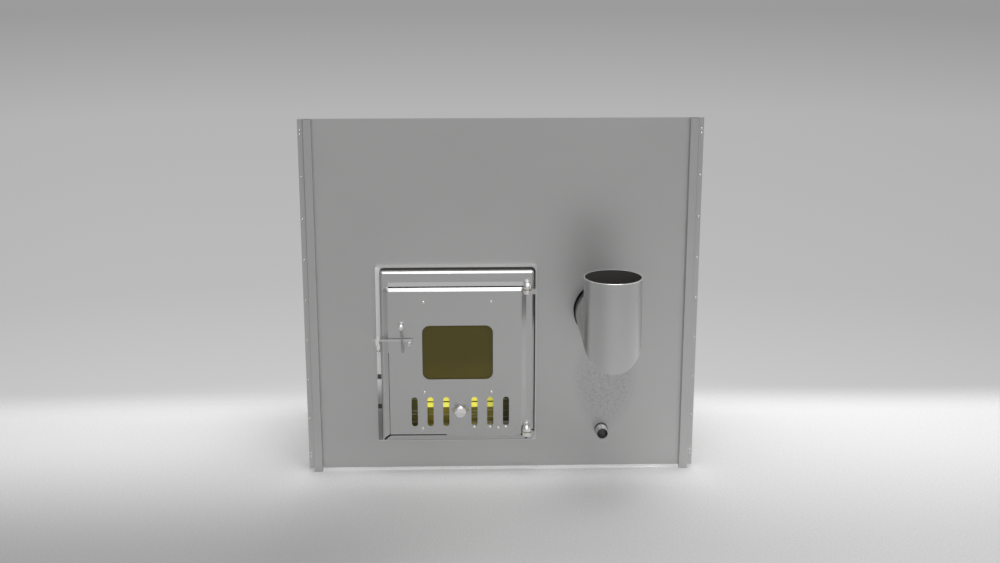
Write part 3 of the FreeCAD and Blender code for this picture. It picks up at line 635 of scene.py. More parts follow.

# %% [markdown]
# ## Olive heat tint
# The sheets inside the door have an olive tint with thin pale horizontal lines. At both ends of
# the row of slots they are darkened. At the foot of the slots on the hinge side a pale band is
# painted as a highlight, and round the knob, where the slide rubs, the tint is worn off to bare metal.

# %% Olive steel
HINGE_END = (-0.008, 0.0)
LATCH_END = (-0.184, -0.174)
HIGHLIGHT_BELOW = (0.1165, 0.1185)
HIGHLIGHT_FROM = (-0.080, -0.070)
RUBBED_HALF = (0.026, 0.020)
olive_steel, shader, place = new_finish("olive_steel", Metallic=0.15)
across = place.axis(0)
streak = place.noise(16, 4, 0.6, stretch=(0.4, 0.4, 9))
patch = place.noise(22, 3, 0.6)
tinted = patch.band(0.35, 0.65).blend((0.62, 0.48, 0.09, 1), (0.36, 0.40, 0.12, 1))
at_the_ends = 0.8 * across.band(*HINGE_END) + 0.5 * (1 - across.band(*LATCH_END))
tinted = at_the_ends.blend(tinted, (0.06, 0.05, 0.03, 1))
knob_place = middle(*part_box("air_knob"))
# A painted highlight at the foot of the hinge-side slots, and wear round the knob
highlight_and_wear = (1 - place.axis(2).band(*HIGHLIGHT_BELOW)) * across.band(*HIGHLIGHT_FROM)
highlight_and_wear = highlight_and_wear + 0.6 * inside(place, (knob_place.x, knob_place.z), RUBBED_HALF, 0.7)
feed(
    shader,
    Base_Color=(streak.band(0.57, 0.62) * 0.7 + highlight_and_wear).clamp().blend(tinted, grey(0.90, 0.02)),
    Roughness=0.45 + 0.2 * (patch - 0.5),
)
print("olive finish:", olive_steel.name)

# %% [markdown]
# ## Amber glass
# The window is dark amber ceramic glass. Almost nothing shows through it, so its own colour does
# most of the work, a little warmer towards its upper and lower rim.

# %% Amber glass
amber_glass, shader, place = new_finish("amber_glass", IOR=1.5, Specular_IOR_Level=0.3)
haze = place.noise(16, 4, 0.6)
rim_glow = abs(place.axis(2) - middle(*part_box("window_glass")).z).band(0.02, 0.065)
feed(
    shader,
    Base_Color=(rim_glow * 0.8 + haze * 0.2).blend(
        (0.120, 0.104, 0.017, 1), (0.160, 0.126, 0.021, 1),
    ),
    Roughness=0.05 + 0.10 * haze.band(0.5, 0.8),
    Alpha=0.86 + 0.1 * haze,
)
print("glass finish:", amber_glass.name)

# %% [markdown]
# ## Woven glass fibre
# The seals are woven glass fibre, whose two sets of yarns cross on the slant. Two sine waves that
# cross at right angles make the weave, and dust makes it uneven.

# %% Woven seal rope
YARNS = 1500
seal_weave, shader, place = new_finish("seal_weave")
slant_up = (place.axis(0) + place.axis(2)) * YARNS
slant_down = (place.axis(0) - place.axis(2)) * YARNS
weave = slant_up.sine() * slant_down.sine()
dust = place.noise(45, 4, 0.6)
feed(
    shader,
    Base_Color=(dust * 0.7 + weave * 0.2).band(0.25, 0.75).blend(
        (0.30, 0.28, 0.25, 1), (0.62, 0.60, 0.55, 1),
    ),
    Roughness=0.9 + 0.05 * (dust - 0.5),
    Normal=weave.bump(0.6, 0.0008),
)
print("seal finish:", seal_weave.name)

# %% [markdown]
# ## Cast iron, brass and weld metal
# The grate is raw cast iron, gritty and dusted with ash. The washers of the hinges are brass. A
# weld bead is a row of small overlapping ripples, and its heat leaves brown beside the bright
# metal. The beads are modelled further down, so their finish only adds colour and a little grit.

# %% Cast iron, brass and weld metal
cast_iron, shader, place = new_finish("cast_iron", Metallic=0.6)
grit = place.noise(380, 4, 0.7)
ash = place.noise(18, 4, 0.6).band(0.5, 0.75)
feed(
    shader,
    Base_Color=ash.blend((0.035, 0.033, 0.031, 1), (0.16, 0.15, 0.14, 1)),
    Roughness=0.68 + 0.2 * (grit - 0.5) + 0.1 * ash,
    Normal=grit.bump(0.5, 0.0008),
)
brass, shader, place = new_finish("brass", Metallic=1.0)
tarnish = place.noise(90, 3, 0.6).band(0.4, 0.7)
feed(
    shader,
    Base_Color=tarnish.blend((0.55, 0.44, 0.22, 1), (0.34, 0.27, 0.16, 1)),
    Roughness=0.26 + 0.2 * tarnish,
)
weld_metal, shader, place = new_finish("weld_metal", Metallic=1.0)
heat = place.noise(120, 3, 0.6)
feed(
    shader,
    Base_Color=heat.band(0.35, 0.7).blend(grey(0.50, 0.02), (0.36, 0.28, 0.22, 1)),
    Roughness=0.34 + 0.2 * (heat - 0.5),
    Normal=heat.bump(0.2, 0.0006),
)
print("other finishes:", cast_iron.name, brass.name, weld_metal.name)

# %% [markdown]
# ## Side posts
# Each edge of the panel is stiffened by a folded hat channel, riveted through its outer flange.
# Its lower end stands on the ground as a foot. A block would have sharp corners. A real fold has a
# bend radius that catches a line of light, so a narrow strip is extruded edge by edge round the
# profile, the fold lines are bevelled, and the strip then gets the thickness of the sheet.

# %% Folding a strip
NEAR = 0.05 * MM


def folded_strip(name, corners, low, high):
    # Extrudes an upright edge through the corners of a profile, given as (x, y) in millimetres
    clear_selection()
    first, second = corners[:2]
    bpy.ops.mesh.primitive_plane_add(size=1)
    piece = bpy.context.object
    piece.name = name
    ends = [(first, low), (second, low), (first, high), (second, high)]
    for vertex, ((x, y), z) in zip(piece.data.vertices, ends):
        vertex.co = at(x, y, z)
    for start, end in zip(corners[1:], corners[2:]):
        here = at(*start, 0)
        choose(
            piece, "EDGE",
            lambda place, run: abs(run.z) > 0.99 and (place.xy - here.xy).length < NEAR,
        )
        extrude(at(*end, 0) - here)
        leave_edit()
    return piece


def bend_folds(piece, corners, radius):
    folds = [at(x, y, 0).xy for x, y in corners[1:-1]]
    choose(
        piece, "EDGE",
        lambda place, run: abs(run.z) > 0.99 and min((place.xy - c).length for c in folds) < NEAR,
    )
    bpy.ops.mesh.bevel(offset=radius * MM, segments=4, affect="EDGES")
    leave_edit()


def thicken(piece, sheet, offset):
    modify(piece, "SOLIDIFY", thickness=sheet * MM, offset=offset, use_even_offset=True)
    choose(piece, "FACE", lambda place, normal: True)
    bpy.ops.mesh.normals_make_consistent(inside=False)
    leave_edit()


print("folds are found within", NEAR / MM, "mm")

# %% Side posts
POST_SHEET = 1.5
POST_FLANGE = 11.5
POST_BEND = 1.8
SIDES = (("left", -1), ("right", 1))
for side_name, side in SIDES:
    node = f"side_post_{side_name}"
    low, high = drawn(node)
    inner, edge = sorted((abs(low.x), abs(high.x)))
    fold = edge - POST_FLANGE
    proud = low.y
    corners = [(side * x, y) for x, y in (
        (edge, -POST_SHEET), (fold, -POST_SHEET), (fold, proud), (inner, proud), (inner, 0),
    )]
    post = folded_strip(f"{node}_sheet", corners, 0, high.z)
    floor_line = at(0, 0, 1).z
    choose(
        post, "EDGE",
        lambda place, run: abs(run.z) < 0.1 and place.z < floor_line and abs(place.x) < (fold + 0.1) * MM,
    )
    extrude((0, 0, low.z * MM))
    leave_edit()
    bend_folds(post, corners, POST_BEND)
    thicken(post, POST_SHEET, side)
    soften(post, 0.25, 2, 50)
    settle(post, "stove", post_steel, "panel_steel", node)

# %% [markdown]
# ## Blind rivets
# The posts are held by blind rivets: a low dome with the broken end of the pulling pin in its
# middle. One is turned from a ring and copied up the flange. Next to the lowest and the highest
# sits a second one, where the posts meet the brackets.

# %% Rivets
RIVET_EDGE = 4.5
RIVET_LOW = 27.0
RIVET_TOP = 33.0
RIVET_STEPS = 8
RIVET_PAIR = 9.0
RIVET_PROFILE = [
    (2.6, -1.5), (2.6, -1.75), (2.35, -2.3), (1.9, -2.75), (1.35, -3.0), (1.0, -3.08), (0.85, -2.9),
    (0.8, -2.2), (0.55, -2.35), (0.2, -2.4),
]
rivet_high = panel_high.z / MM - panel_low.z / MM - RIVET_TOP
rivet_pitch = (rivet_high - RIVET_LOW) / RIVET_STEPS
heights = [RIVET_LOW + step * rivet_pitch for step in range(RIVET_STEPS + 1)]
heights += [RIVET_LOW + RIVET_PAIR, rivet_high + RIVET_PAIR]
for side_name, side in SIDES:
    x = side * (panel_high.x / MM - RIVET_EDGE)
    first = turned("rivet", at(x, 0, heights[0]), RIVET_PROFILE, sides=20)
    row = [first] + [copy_to(first, (0, 0, (z - heights[0]) * MM)) for z in heights[1:]]
    rivets = gather(f"rivet_row_{side_name}", row)
    soften(rivets, 0)
    settle(rivets, "stove", fastener_steel, "fastener_steel", f"rivets_{side_name}")

# %% [markdown]
# ## The flue elbow
# Two pieces of tube meet at a mitre: one comes out of the firebox through the panel, the other
# stands upright and takes the chimney. A pipe is a cylinder whose ends are inset and bridged, a
# bisect along the mitre plane cuts it, and the cut is bridged again. The top is drawn in a little
# for the next pipe and ends in a rolled, bright edge, which is a thin ring. Soot covers the inside.

# %% Pipes and mitres
def pipe(name, radius, wall, start, end, sides=128):
    piece = round_bar(name, radius, start, end, sides)
    run = (end - start).normalized()
    choose(piece, "FACE", lambda place, normal: abs(normal.dot(run)) > 0.99)
    bpy.ops.mesh.inset(thickness=wall * MM)
    bpy.ops.mesh.bridge_edge_loops()
    leave_edit()
    return piece


def mitre(piece, place, normal):
    # Cuts away what lies on the side of the plane that the normal points to
    choose(piece, "FACE", lambda centre, way: True)
    bpy.ops.mesh.bisect(plane_co=place, plane_no=normal, clear_outer=True)
    bpy.ops.mesh.bridge_edge_loops()
    bpy.ops.mesh.select_all(action="SELECT")
    bpy.ops.mesh.normals_make_consistent(inside=False)
    leave_edit()


def ring(name, radius, thick, rings, sides, place):
    clear_selection()
    bpy.ops.mesh.primitive_torus_add(
        major_radius=radius * MM, minor_radius=thick * MM, major_segments=rings, minor_segments=sides,
        location=place,
    )
    return made_at_once(name)


def looks_inwards(place, normal, start, axis):
    # True on the inner wall of a pipe whose axis runs through the start
    spoke = place - start
    spoke -= axis * spoke.dot(axis)
    return spoke.normalized().dot(normal) < -0.5


print("pipework:", pipe.__name__, mitre.__name__, ring.__name__)

# %% Flue riser
FLUE_RADIUS = 60.0
FLUE_WALL = 1.5
FLUE_END_RADIUS = 59.2
FLUE_END = 45.0
FLUE_TAPER = 2.0
ROLLED = 1.1
riser_low, riser_high = drawn("flue_riser")
stub_low, stub_high = drawn("flue_stub")
flue_x = middle(stub_low.x, stub_high.x)
flue_y = middle(riser_low.y, riser_high.y)
flue_z = middle(stub_low.z, stub_high.z)
corner = at(flue_x, flue_y, flue_z)
up = Vector((0, 0, 1))
back = Vector((0, 1, 0))
riser = pipe(
    "flue_riser_tube", FLUE_RADIUS, FLUE_WALL, at(flue_x, flue_y, riser_low.z - FLUE_RADIUS),
    at(flue_x, flue_y, riser_high.z - FLUE_END - FLUE_TAPER),
)
choose(riser, "FACE", lambda place, normal: normal.z > 0.99)
for step, scale in ((FLUE_TAPER, FLUE_END_RADIUS / FLUE_RADIUS), (FLUE_END, 1.0)):
    extrude(up * step * MM)
    bpy.ops.transform.resize(value=(scale, scale, 1), center_override=corner)
leave_edit()
mitre(riser, corner, back - up)
soften(riser, 0.35, 2, 60)
rolled = ring("rolled", FLUE_RADIUS - ROLLED, ROLLED, 128, 12, at(flue_x, flue_y, riser_high.z - ROLLED))
soften(rolled, 0)
riser = gather("flue_riser_tube", [riser, rolled])
settle(riser, "stove", [flue_steel, flue_soot, bright_steel], "flue_steel", "flue_riser")
rolled_from = at(0, 0, riser_high.z - 2 * ROLLED).z
paint(riser, lambda place, normal: 2 if place.z > rolled_from else looks_inwards(place, normal, corner, up))

# %% Flue stub
stub = pipe(
    "flue_stub_tube", FLUE_RADIUS, FLUE_WALL, at(flue_x, flue_y - 2 * FLUE_RADIUS, flue_z),
    at(flue_x, stub_high.y, flue_z),
)
mitre(stub, corner, up - back)
soften(stub, 0.25, 2, 60)
settle(stub, "stove", [stub_steel, flue_soot], "flue_steel", "flue_stub")
paint(stub, lambda place, normal: looks_inwards(place, normal, corner, back))

# %% [markdown]
# ## The drain
# A short pipe comes out low on the panel and ends in a thread for a valve. The thread is a row of
# ridges: the ring is extruded in and out as the lathe tool moves along.

# %% Drain nipple
DRAIN_BORE = 11.45
DRAIN_PIPE = 13.45
THREAD_CREST = 13.22
THREAD_ROOT = 12.4
THREAD_PITCH = 1.8
THREAD_TURNS = 10
THREAD_END = 19.6
low, high = drawn("drain_nipple")
tip, root = low.y, high.y
profile = [
    (DRAIN_BORE, root), (DRAIN_PIPE, root), (DRAIN_PIPE, tip + THREAD_END + 0.8),
    (THREAD_ROOT, tip + THREAD_END),
]
for turn in range(THREAD_TURNS, 0, -1):
    reach = tip + 1.0 + turn * THREAD_PITCH
    profile += [(THREAD_ROOT, reach - 0.1), (THREAD_CREST, reach - 0.75), (THREAD_CREST, reach - 1.05)]
profile += [
    (THREAD_ROOT, tip + 0.7), (THREAD_ROOT - 0.3, tip), (DRAIN_BORE + 0.2, tip), (DRAIN_BORE, tip + 0.4),
    (DRAIN_BORE, root - 0.01),
]
drain = turned("drain_pipe", at(middle(low.x, high.x), 0, middle(low.z, high.z)), profile, sides=64)
soften(drain, 0)
settle(drain, "stove", flue_steel, "flue_steel", "drain_nipple")

# %% [markdown]
# ## The door skin
# The door is pressed from sheet: a shallow pan with a chamfered edge, and in it a raised field. The
# chamfers that look up are the brightest lines on the stove. They fan out at the corners, because
# the press rounds the foot of a chamfer more than its face. An inset with depth on a rounded block
# gives just that.

# %% Rounded blocks and raised fields
def rounded(name, low, high, radius, along=1, segments=6):
    piece = block(name, low, high)
    round_corners(piece, along, radius, segments)
    return piece


def raised(name, low, high, radius, bevel, rise):
    # The front face is inset and moved out in one step
    piece = rounded(name, low, high, radius)
    choose(piece, "FACE", lambda place, normal: normal.y < -0.99)
    bpy.ops.mesh.inset(thickness=bevel * MM, depth=rise * MM)
    leave_edit()
    return piece


DOOR_SHEET = 2.5
DOOR_CORNER = 6.0
DOOR_BEVEL = 3.8
FIELD_CORNER = 12.0
FIELD_BEVEL = 10.0
FIELD_RISE = 7.0
FIELD_MARGIN = 6.0
FIELD_FROM_HINGES = 17.0
FIELD_FROM_TOP = 32.0
door_low, door_high = drawn("door_skin")
face = door_low.y
flange = face + FIELD_RISE
field_low = Vector((door_low.x + FIELD_MARGIN, flange, door_low.z + FIELD_MARGIN))
field_high = Vector((door_high.x - FIELD_FROM_HINGES, flange + DOOR_SHEET, door_high.z - FIELD_FROM_TOP))
skin = raised(
    "door_skin_pressing", at(door_low.x, flange + DOOR_BEVEL, door_low.z), at(*door_high),
    DOOR_CORNER, DOOR_BEVEL, DOOR_BEVEL,
)
field = raised("field", at(*field_low), at(*field_high), FIELD_CORNER, FIELD_BEVEL, FIELD_RISE)
combine(skin, [field], "UNION")
print("door skin:", [round(v, 1) for v in door_high - door_low], "mm")

# %% [markdown]
# ## The press line and the hollow
# Above the field the press has left a low wedge, and below the wedge a groove, whose faces are
# painted dark as shade further down. The wedge is a block whose upper front edge is pushed back, the
# groove is cut with a bar. Two more blocks then hollow the door out from behind, so that it is a
# sheet again.

# %% Press line, groove and hollow
BEYOND = 5.0
PRESS_TALL = 9.0
PRESS_RISE = 2.0
PRESS_FROM_FIELD = 11.0
PRESS_TO_FIELD = 6.0
GROOVE = 1.7
GROOVE_PROUD = 1.1
GROOVE_BELOW = 1.5
press_low = Vector((field_low.x + PRESS_FROM_FIELD, flange - PRESS_RISE, field_high.z))
press_high = Vector((field_high.x - PRESS_TO_FIELD, flange + 1, field_high.z + PRESS_TALL))
wedge = block("press_line", at(*press_low), at(*press_high))
foot = at(*press_low)
choose(
    wedge, "EDGE",
    lambda place, run: abs(run.x) > 0.99 and place.z > foot.z + MM and place.y < foot.y + MM,
)
bpy.ops.transform.translate(value=(0, PRESS_RISE * MM, 0))
leave_edit()
combine(skin, [wedge], "UNION")
groove_start, groove_end = (
    Vector((x, flange - GROOVE_PROUD, field_high.z - GROOVE_BELOW)) for x in (press_low.x, press_high.x)
)
combine(skin, [round_bar("groove", GROOVE, at(*groove_start), at(*groove_end), 12)], "DIFFERENCE")
hollow = rounded(
    "hollow", at(door_low.x + DOOR_SHEET, flange + DOOR_BEVEL, door_low.z + DOOR_SHEET),
    at(door_high.x - DOOR_SHEET, door_high.y + BEYOND, door_high.z - DOOR_SHEET),
    DOOR_CORNER - DOOR_SHEET,
)
combine(skin, [hollow], "DIFFERENCE")
wall = FIELD_BEVEL + DOOR_SHEET / 2
recess = rounded(
    "recess", at(field_low.x + wall, face + DOOR_SHEET, field_low.z + wall),
    at(field_high.x - wall, flange + DOOR_BEVEL + BEYOND, field_high.z - wall), FIELD_CORNER / 2,
)
combine(skin, [recess], "DIFFERENCE")
print("hollowed door skin:", len(skin.data.polygons), "faces")

# %% [markdown]
# ## Window and air slots
# The window and the six slots are punched out, and a short slot lets the knob travel. Rounded
# blocks cut them, and a small bevel breaks their front edges, where a punch draws the sheet in.

# %% Window, air slots and the knob's slot
VENTS = (-191.2, -156.6, -122.0, -60.0, -25.4, 9.2)
VENT_LOW = 111.0
VENT_HIGH = 178.0
VENT_HALF = 6.5
WINDOW = (-172.5, -19.5, 219.5, 341.5)
WINDOW_CORNER = 16.0
KNOB_SLOT = (18.0, 4.5)
RIM_EDGE = 0.8
HAIR = 0.01
knob_low, knob_high = drawn("air_knob")
KNOB = (middle(knob_low.x, knob_high.x), middle(knob_low.z, knob_high.z))


def through(name, x0, x1, z0, z1, radius):
    return rounded(name, at(x0, face - BEYOND, z0), at(x1, flange, z1), radius, segments=8)


rims = [(x - VENT_HALF, x + VENT_HALF, VENT_LOW, VENT_HIGH) for x in VENTS]
cutters = [through("slot", *rim, VENT_HALF - HAIR) for rim in rims]
cutters.append(through("window", *WINDOW, WINDOW_CORNER))
reach, half = KNOB_SLOT
knob_rim = (KNOB[0] - reach, KNOB[0] + reach, KNOB[1] - half, KNOB[1] + half)
cutters.append(through("knob_slot", *knob_rim, half - HAIR))
combine(skin, cutters, "DIFFERENCE")
rims.append(WINDOW)


def on_a_rim(place, run):
    x, z = place.x / MM, (place.z - panel_low.z) / MM
    on_face = abs(place.y - at(0, face, 0).y) < 0.02 * MM
    return on_face and any(x0 - 0.1 < x < x1 + 0.1 and z0 - 0.1 < z < z1 + 0.1 for x0, x1, z0, z1 in rims)


choose(skin, "EDGE", on_a_rim)
bpy.ops.mesh.bevel(offset=RIM_EDGE * MM, segments=2, affect="EDGES")
leave_edit()
print("openings in the door:", len(rims) + 1)

# %% [markdown]
# ## Countersunk slot ends and open seams
# On the hinge side the lower ends of the slots are countersunk and catch the light. At its lower
# corners the pressing is slit and folded, which leaves open seams, and a fine fold line runs up
# beside the field. Cones and thin bars cut these lines, and their faces, with the groove's, are
# painted dark as shade.

# %% Countersunk lower ends
SINK = 6.0
SINK_SLOPE = 1.4
SINK_UP = 2.0
sink_profile = [(SINK - SINK_SLOPE * depth, face + depth) for depth in (-0.5, DOOR_SHEET + 0.1)]
for x in VENTS[3:]:
    sink = turned("sink", at(x, 0, VENT_LOW + SINK_UP), sink_profile, sides=24)
    combine(skin, [sink], "DIFFERENCE")
print("countersunk slots:", len(VENTS[3:]))

# %% Open seams and the fold line
SEAM = 1.5
SEAM_CORNER = 2.2
SEAM_OUT = 3.0
SEAM_RUN = 124.0
FOLD_LINE = 0.6
FOLD_RUN = 190.0
foot_in = FIELD_CORNER * (1 - math.sqrt(0.5))
face_in = FIELD_BEVEL + (FIELD_CORNER - FIELD_BEVEL) * (1 - math.sqrt(0.5))


def corner_seam(field_x, side):
    # Out on the pan, at the foot and at the face of a lower corner of the field
    steps = ((-SEAM_OUT, flange), (foot_in, flange), (face_in, face))
    return [Vector((field_x + side * step, y, field_low.z + step)) for step, y in steps]


left_seam = corner_seam(field_low.x, 1)
right_seam = corner_seam(field_high.x, -1)
seam_end = Vector((left_seam[2].x + SEAM_RUN, face, field_low.z + FIELD_BEVEL))
fold_foot = Vector((field_low.x + FIELD_BEVEL, face, left_seam[2].z))
seams = [
    (start, end, SEAM_CORNER)
    for line in (left_seam, right_seam) for start, end in zip(line, line[1:])
]
seams.append((left_seam[2], seam_end, SEAM))
seams.append((fold_foot, fold_foot + Vector((0, 0, FOLD_RUN)), FOLD_LINE))
for start, end, radius in seams:
    combine(skin, [round_bar("seam", radius, at(*start), at(*end), 8)], "DIFFERENCE")
soften(skin, 0.3)
dark_lines = seams + [(groove_start, groove_end, GROOVE)]


def in_a_seam(place, normal):
    for start, end, radius in dark_lines:
        run = at(*end) - at(*start)
        along = max(0, min(1, (place - at(*start)).dot(run) / run.length_squared))
        if (place - at(*start) - run * along).length < radius * 0.99 * MM:
            return True
    return False


settle(skin, "door", [door_steel, soot_and_shade], "door_steel", "door_skin")
# The faces in the seams and the groove get the dark finish: painted shade in the creases
paint(skin, in_a_seam)

# %% [markdown]
# ## The door frame and the strike bar
# The door shuts against a welded frame with a low rim. On the latch side the rim carries a polished
# bar with two square holes. The holes end in the rim, and their floors are painted dark as shade. In
# the gaps beside the hinges and above the door the rim is painted dark too: soot and painted shade.
# A bisect draws the line where this dark paint begins.

# %% Strike holes
FRAME_PLATE = 4.0
STRIKE_HOLE_HALF = (4.2, 5.5)
STRIKE_HOLE_DEEP = 7.0
frame_low, frame_high = drawn("door_frame")
strike_low, strike_high = drawn("strike_bar")
STRIKE_HOLES = (frame_low.z + 83.0, frame_low.z + 152.0)


def strike_cutters():
    x = middle(strike_low.x, strike_high.x)
    across, upward = STRIKE_HOLE_HALF
    return [
        block(
            "hole", at(x - across, strike_low.y - BEYOND, z - upward),
            at(x + across, strike_low.y + STRIKE_HOLE_DEEP, z + upward),
        )
        for z in STRIKE_HOLES
    ]


def behind_the_bar(place):
    height = (place.z - panel_low.z) / MM
    in_hole = any(abs(height - z) <= STRIKE_HOLE_HALF[1] for z in STRIKE_HOLES)
    return in_hole and strike_low.x < place.x / MM < strike_high.x - 1


print("strike holes at", [round(z, 1) for z in STRIKE_HOLES], "mm")

# %% Door frame
FRAME_CORNER = 4.0
SEAT_GAP = 4.0
SEAT_CORNER = 10.0
NECK_SHEET = 3.0
GAP_LAP = 2.0
neck_low, neck_high = drawn("door_neck")
rim = rounded("door_frame_rim", at(*frame_low), at(*frame_high), FRAME_CORNER)
seat = rounded(
    "seat", at(strike_high.x, frame_low.y - BEYOND, door_low.z - SEAT_GAP),
    at(door_high.x + SEAT_GAP, -FRAME_PLATE, door_high.z + SEAT_GAP), SEAT_CORNER,
)
combine(rim, [seat], "DIFFERENCE")
mouth = block(
    "mouth", at(neck_low.x + NECK_SHEET, -FRAME_PLATE - BEYOND, neck_low.z + NECK_SHEET),
    at(neck_high.x - NECK_SHEET, BEYOND, neck_high.z - NECK_SHEET),
)
combine(rim, [mouth] + strike_cutters(), "DIFFERENCE")
# The line where the gap's soot and painted shade begin
gap_shade_from = at(door_high.x - GAP_LAP, 0, door_high.z - GAP_LAP)
for way in ((1, 0, 0), (0, 0, 1)):
    choose(rim, "FACE", lambda place, normal: normal.y < -0.99)
    bpy.ops.mesh.bisect(plane_co=gap_shade_from, plane_no=way)
leave_edit()
soften(rim, 0.4)
settle(rim, "stove", [frame_steel, gap_shade_and_soot], "frame_steel", "door_frame")


def in_the_gap(place, normal):
    # Beside the hinges and above the door
    on_seat = normal.y < -0.9 and place.y > at(0, -FRAME_PLATE - 0.1, 0).y
    beside = (on_seat or normal.x < -0.9) and place.x > gap_shade_from.x
    return beside or on_seat and place.z > gap_shade_from.z


# Painted shade on the strike holes' floors, and soot with painted shade in the gaps
paint(rim, lambda place, normal: behind_the_bar(place) or in_the_gap(place, normal))

# %% Strike bar
strike = block("strike_strip", at(*strike_low), at(*strike_high))
combine(strike, strike_cutters(), "DIFFERENCE")
soften(strike, 0.6, 3)
settle(strike, "stove", strike_steel, "polished_steel", "strike_bar")

# %% [markdown]
# ## The keeper
# The latch drops behind a hooked keeper on the frame. The hook is a strip, extruded forward and up
# again, and polished by use.

# %% Keeper
KEEPER_SHEET = 3.0
KEEPER_LEDGE = 6.0
KEEPER_LIP = 9.0
low, high = drawn("latch_keeper")
ledge_low = high.z - KEEPER_LIP - KEEPER_LEDGE
keeper = block("keeper_hook", at(low.x, high.y - KEEPER_SHEET, low.z), at(high.x, high.y, ledge_low))
choose(keeper, "FACE", lambda place, normal: normal.z > 0.99)
extrude((0, 0, KEEPER_LEDGE * MM))
choose(keeper, "FACE", lambda place, normal: normal.y < -0.99 and place.z > at(0, 0, ledge_low).z)
for reach in (high.y - low.y - 2 * KEEPER_SHEET, KEEPER_SHEET):
    extrude((0, -reach * MM, 0))
lip_back = at(0, low.y + KEEPER_SHEET, 0).y
choose(keeper, "FACE", lambda place, normal: normal.z > 0.99 and place.y < lip_back)
extrude((0, 0, KEEPER_LIP * MM))
leave_edit()
soften(keeper, 0.6)
settle(keeper, "stove", bright_steel, "door_steel", "latch_keeper")

# %% [markdown]
# ## The latch
# A flat lever turns on a bolt in the door. Its eye is a disc, its strap a block with rounded end
# corners, and a neck joins the two. A thin dark rod with a pale ball is the handle. The bolt has a
# low round head with a socket.

# %% Lever
EYE = 7.0
STRAP = 4.5
STRAP_CORNER = 2.0
bolt_low, bolt_high = drawn("latch_bolt")
PIVOT = (middle(bolt_low.x, bolt_high.x), middle(bolt_low.z, bolt_high.z))
low, high = drawn("latch_lever")
lever = round_bar(
    "latch_lever_strap", EYE, at(PIVOT[0], low.y, PIVOT[1]), at(PIVOT[0], high.y, PIVOT[1]), 48,
)
strap = block("strap", at(low.x, low.y, high.z - STRAP), at(PIVOT[0] + EYE, high.y, high.z))
choose(strap, "EDGE", lambda place, run: abs(run.y) > 0.99 and place.x < at(low.x + 1, 0, 0).x)
bpy.ops.mesh.bevel(offset=STRAP_CORNER * MM, segments=4, affect="EDGES")
leave_edit()
combine(lever, [strap], "UNION")
neck = block("neck", at(PIVOT[0] - EYE, low.y, PIVOT[1]), at(PIVOT[0] + EYE, high.y, high.z - 1))
combine(lever, [neck], "UNION")
soften(lever, 1.3, 3)
settle(lever, "latch", lever_steel, "door_steel", "latch_lever")

# %% Handle and ball
ROD = 2.0
BALL = 6.5
BALL_STEPS = 16
low, high = drawn("latch_handle")
rod_y = low.y + ROD
handle = round_bar(
    "latch_handle_rod", ROD, at(high.x - ROD, rod_y, low.z), at(low.x + ROD, rod_y, high.z), 24,
)
choose(handle, "FACE", lambda place, normal: abs(normal.z) > 0.9)
bpy.ops.mesh.inset(thickness=0.6 * MM, depth=0.4 * MM)
leave_edit()
soften(handle, 0)
settle(handle, "latch", rod_steel, "door_steel", "latch_handle")

low, high = drawn("latch_ball")
ball_profile = [(2.6, -7.0), (3.0, -6.8), (3.0, -6.0)]
for step in range(BALL_STEPS + 1):
    angle = math.radians(-60 + step * 150 / BALL_STEPS)
    ball_profile.append((max(BALL * math.cos(angle), 0.05), BALL * math.sin(angle)))
ball_centre = at(middle(low.x, high.x), middle(low.y, high.y), high.z - BALL)
ball = turned("latch_ball_grip", ball_centre, ball_profile, 2, 40)
soften(ball, 0)
settle(ball, "latch", ball_steel, "polished_steel", "latch_ball")

# %% Pivot bolt with a round socket
low, high = bolt_low.y, bolt_high.y
bolt = turned(
    "latch_bolt_head", at(PIVOT[0], 0, PIVOT[1]),
    [(5.4, high), (5.5, high - 0.3), (5.5, high - 3.0), (3.0, high - 3.0), (3.0, low + 3.0),
     (5.5, low + 3.0), (5.5, low + 1.6), (5.1, low + 0.7), (4.2, low + 0.1), (3.0, low),
     (2.7, low + 0.3), (2.6, low + 1.8), (0.1, low + 1.9)],
)
soften(bolt, 0)
settle(bolt, "door", lever_steel, "fastener_steel", "latch_bolt")

# %% [markdown]
# ## Hinges
# Each hinge is a pair of turned knuckles on a pin. The upper one sits on the door and has a domed
# top. The lower one hangs on an arm that reaches round the door's edge to the frame. The knuckles
# are polished, and the arm keeps the grey of the door.

# %% Knuckles on the door
DOME = 9.5
DOME_ANGLES = (0.2, 0.4, 0.6, 0.8, 1.0, 1.2, 1.4)
WEB_FROM, WEB_TO = field_high.x + 0.3, field_high.x + 9.3
EASE = 0.2
washer_low, washer_high = drawn("hinge_washers")
HINGE = (middle(washer_low.x, washer_high.x), middle(washer_low.y, washer_high.y))
KNUCKLE = (washer_high.x - washer_low.x) / 2
for level in ("lower", "upper"):
    node = f"hinge_door_{level}"
    low, high = drawn(node)
    barrel = high.z - low.z - DOME
    profile = [(KNUCKLE - 0.5, 0), (KNUCKLE, 0.5), (KNUCKLE, barrel)]
    profile += [(KNUCKLE * math.cos(a), barrel + DOME * math.sin(a)) for a in DOME_ANGLES]
    profile.append((0.1, barrel + DOME))
    knuckle = turned(f"hinge_knuckle_{level}", at(*HINGE, low.z), profile, 2, 40)
    web = block("web", at(WEB_FROM, HINGE[1], low.z + EASE), at(WEB_TO, high.y, low.z + barrel))
    combine(knuckle, [web], "UNION")
    soften(knuckle, 0.4)
    settle(knuckle, "door", bright_steel, "frame_steel", node)

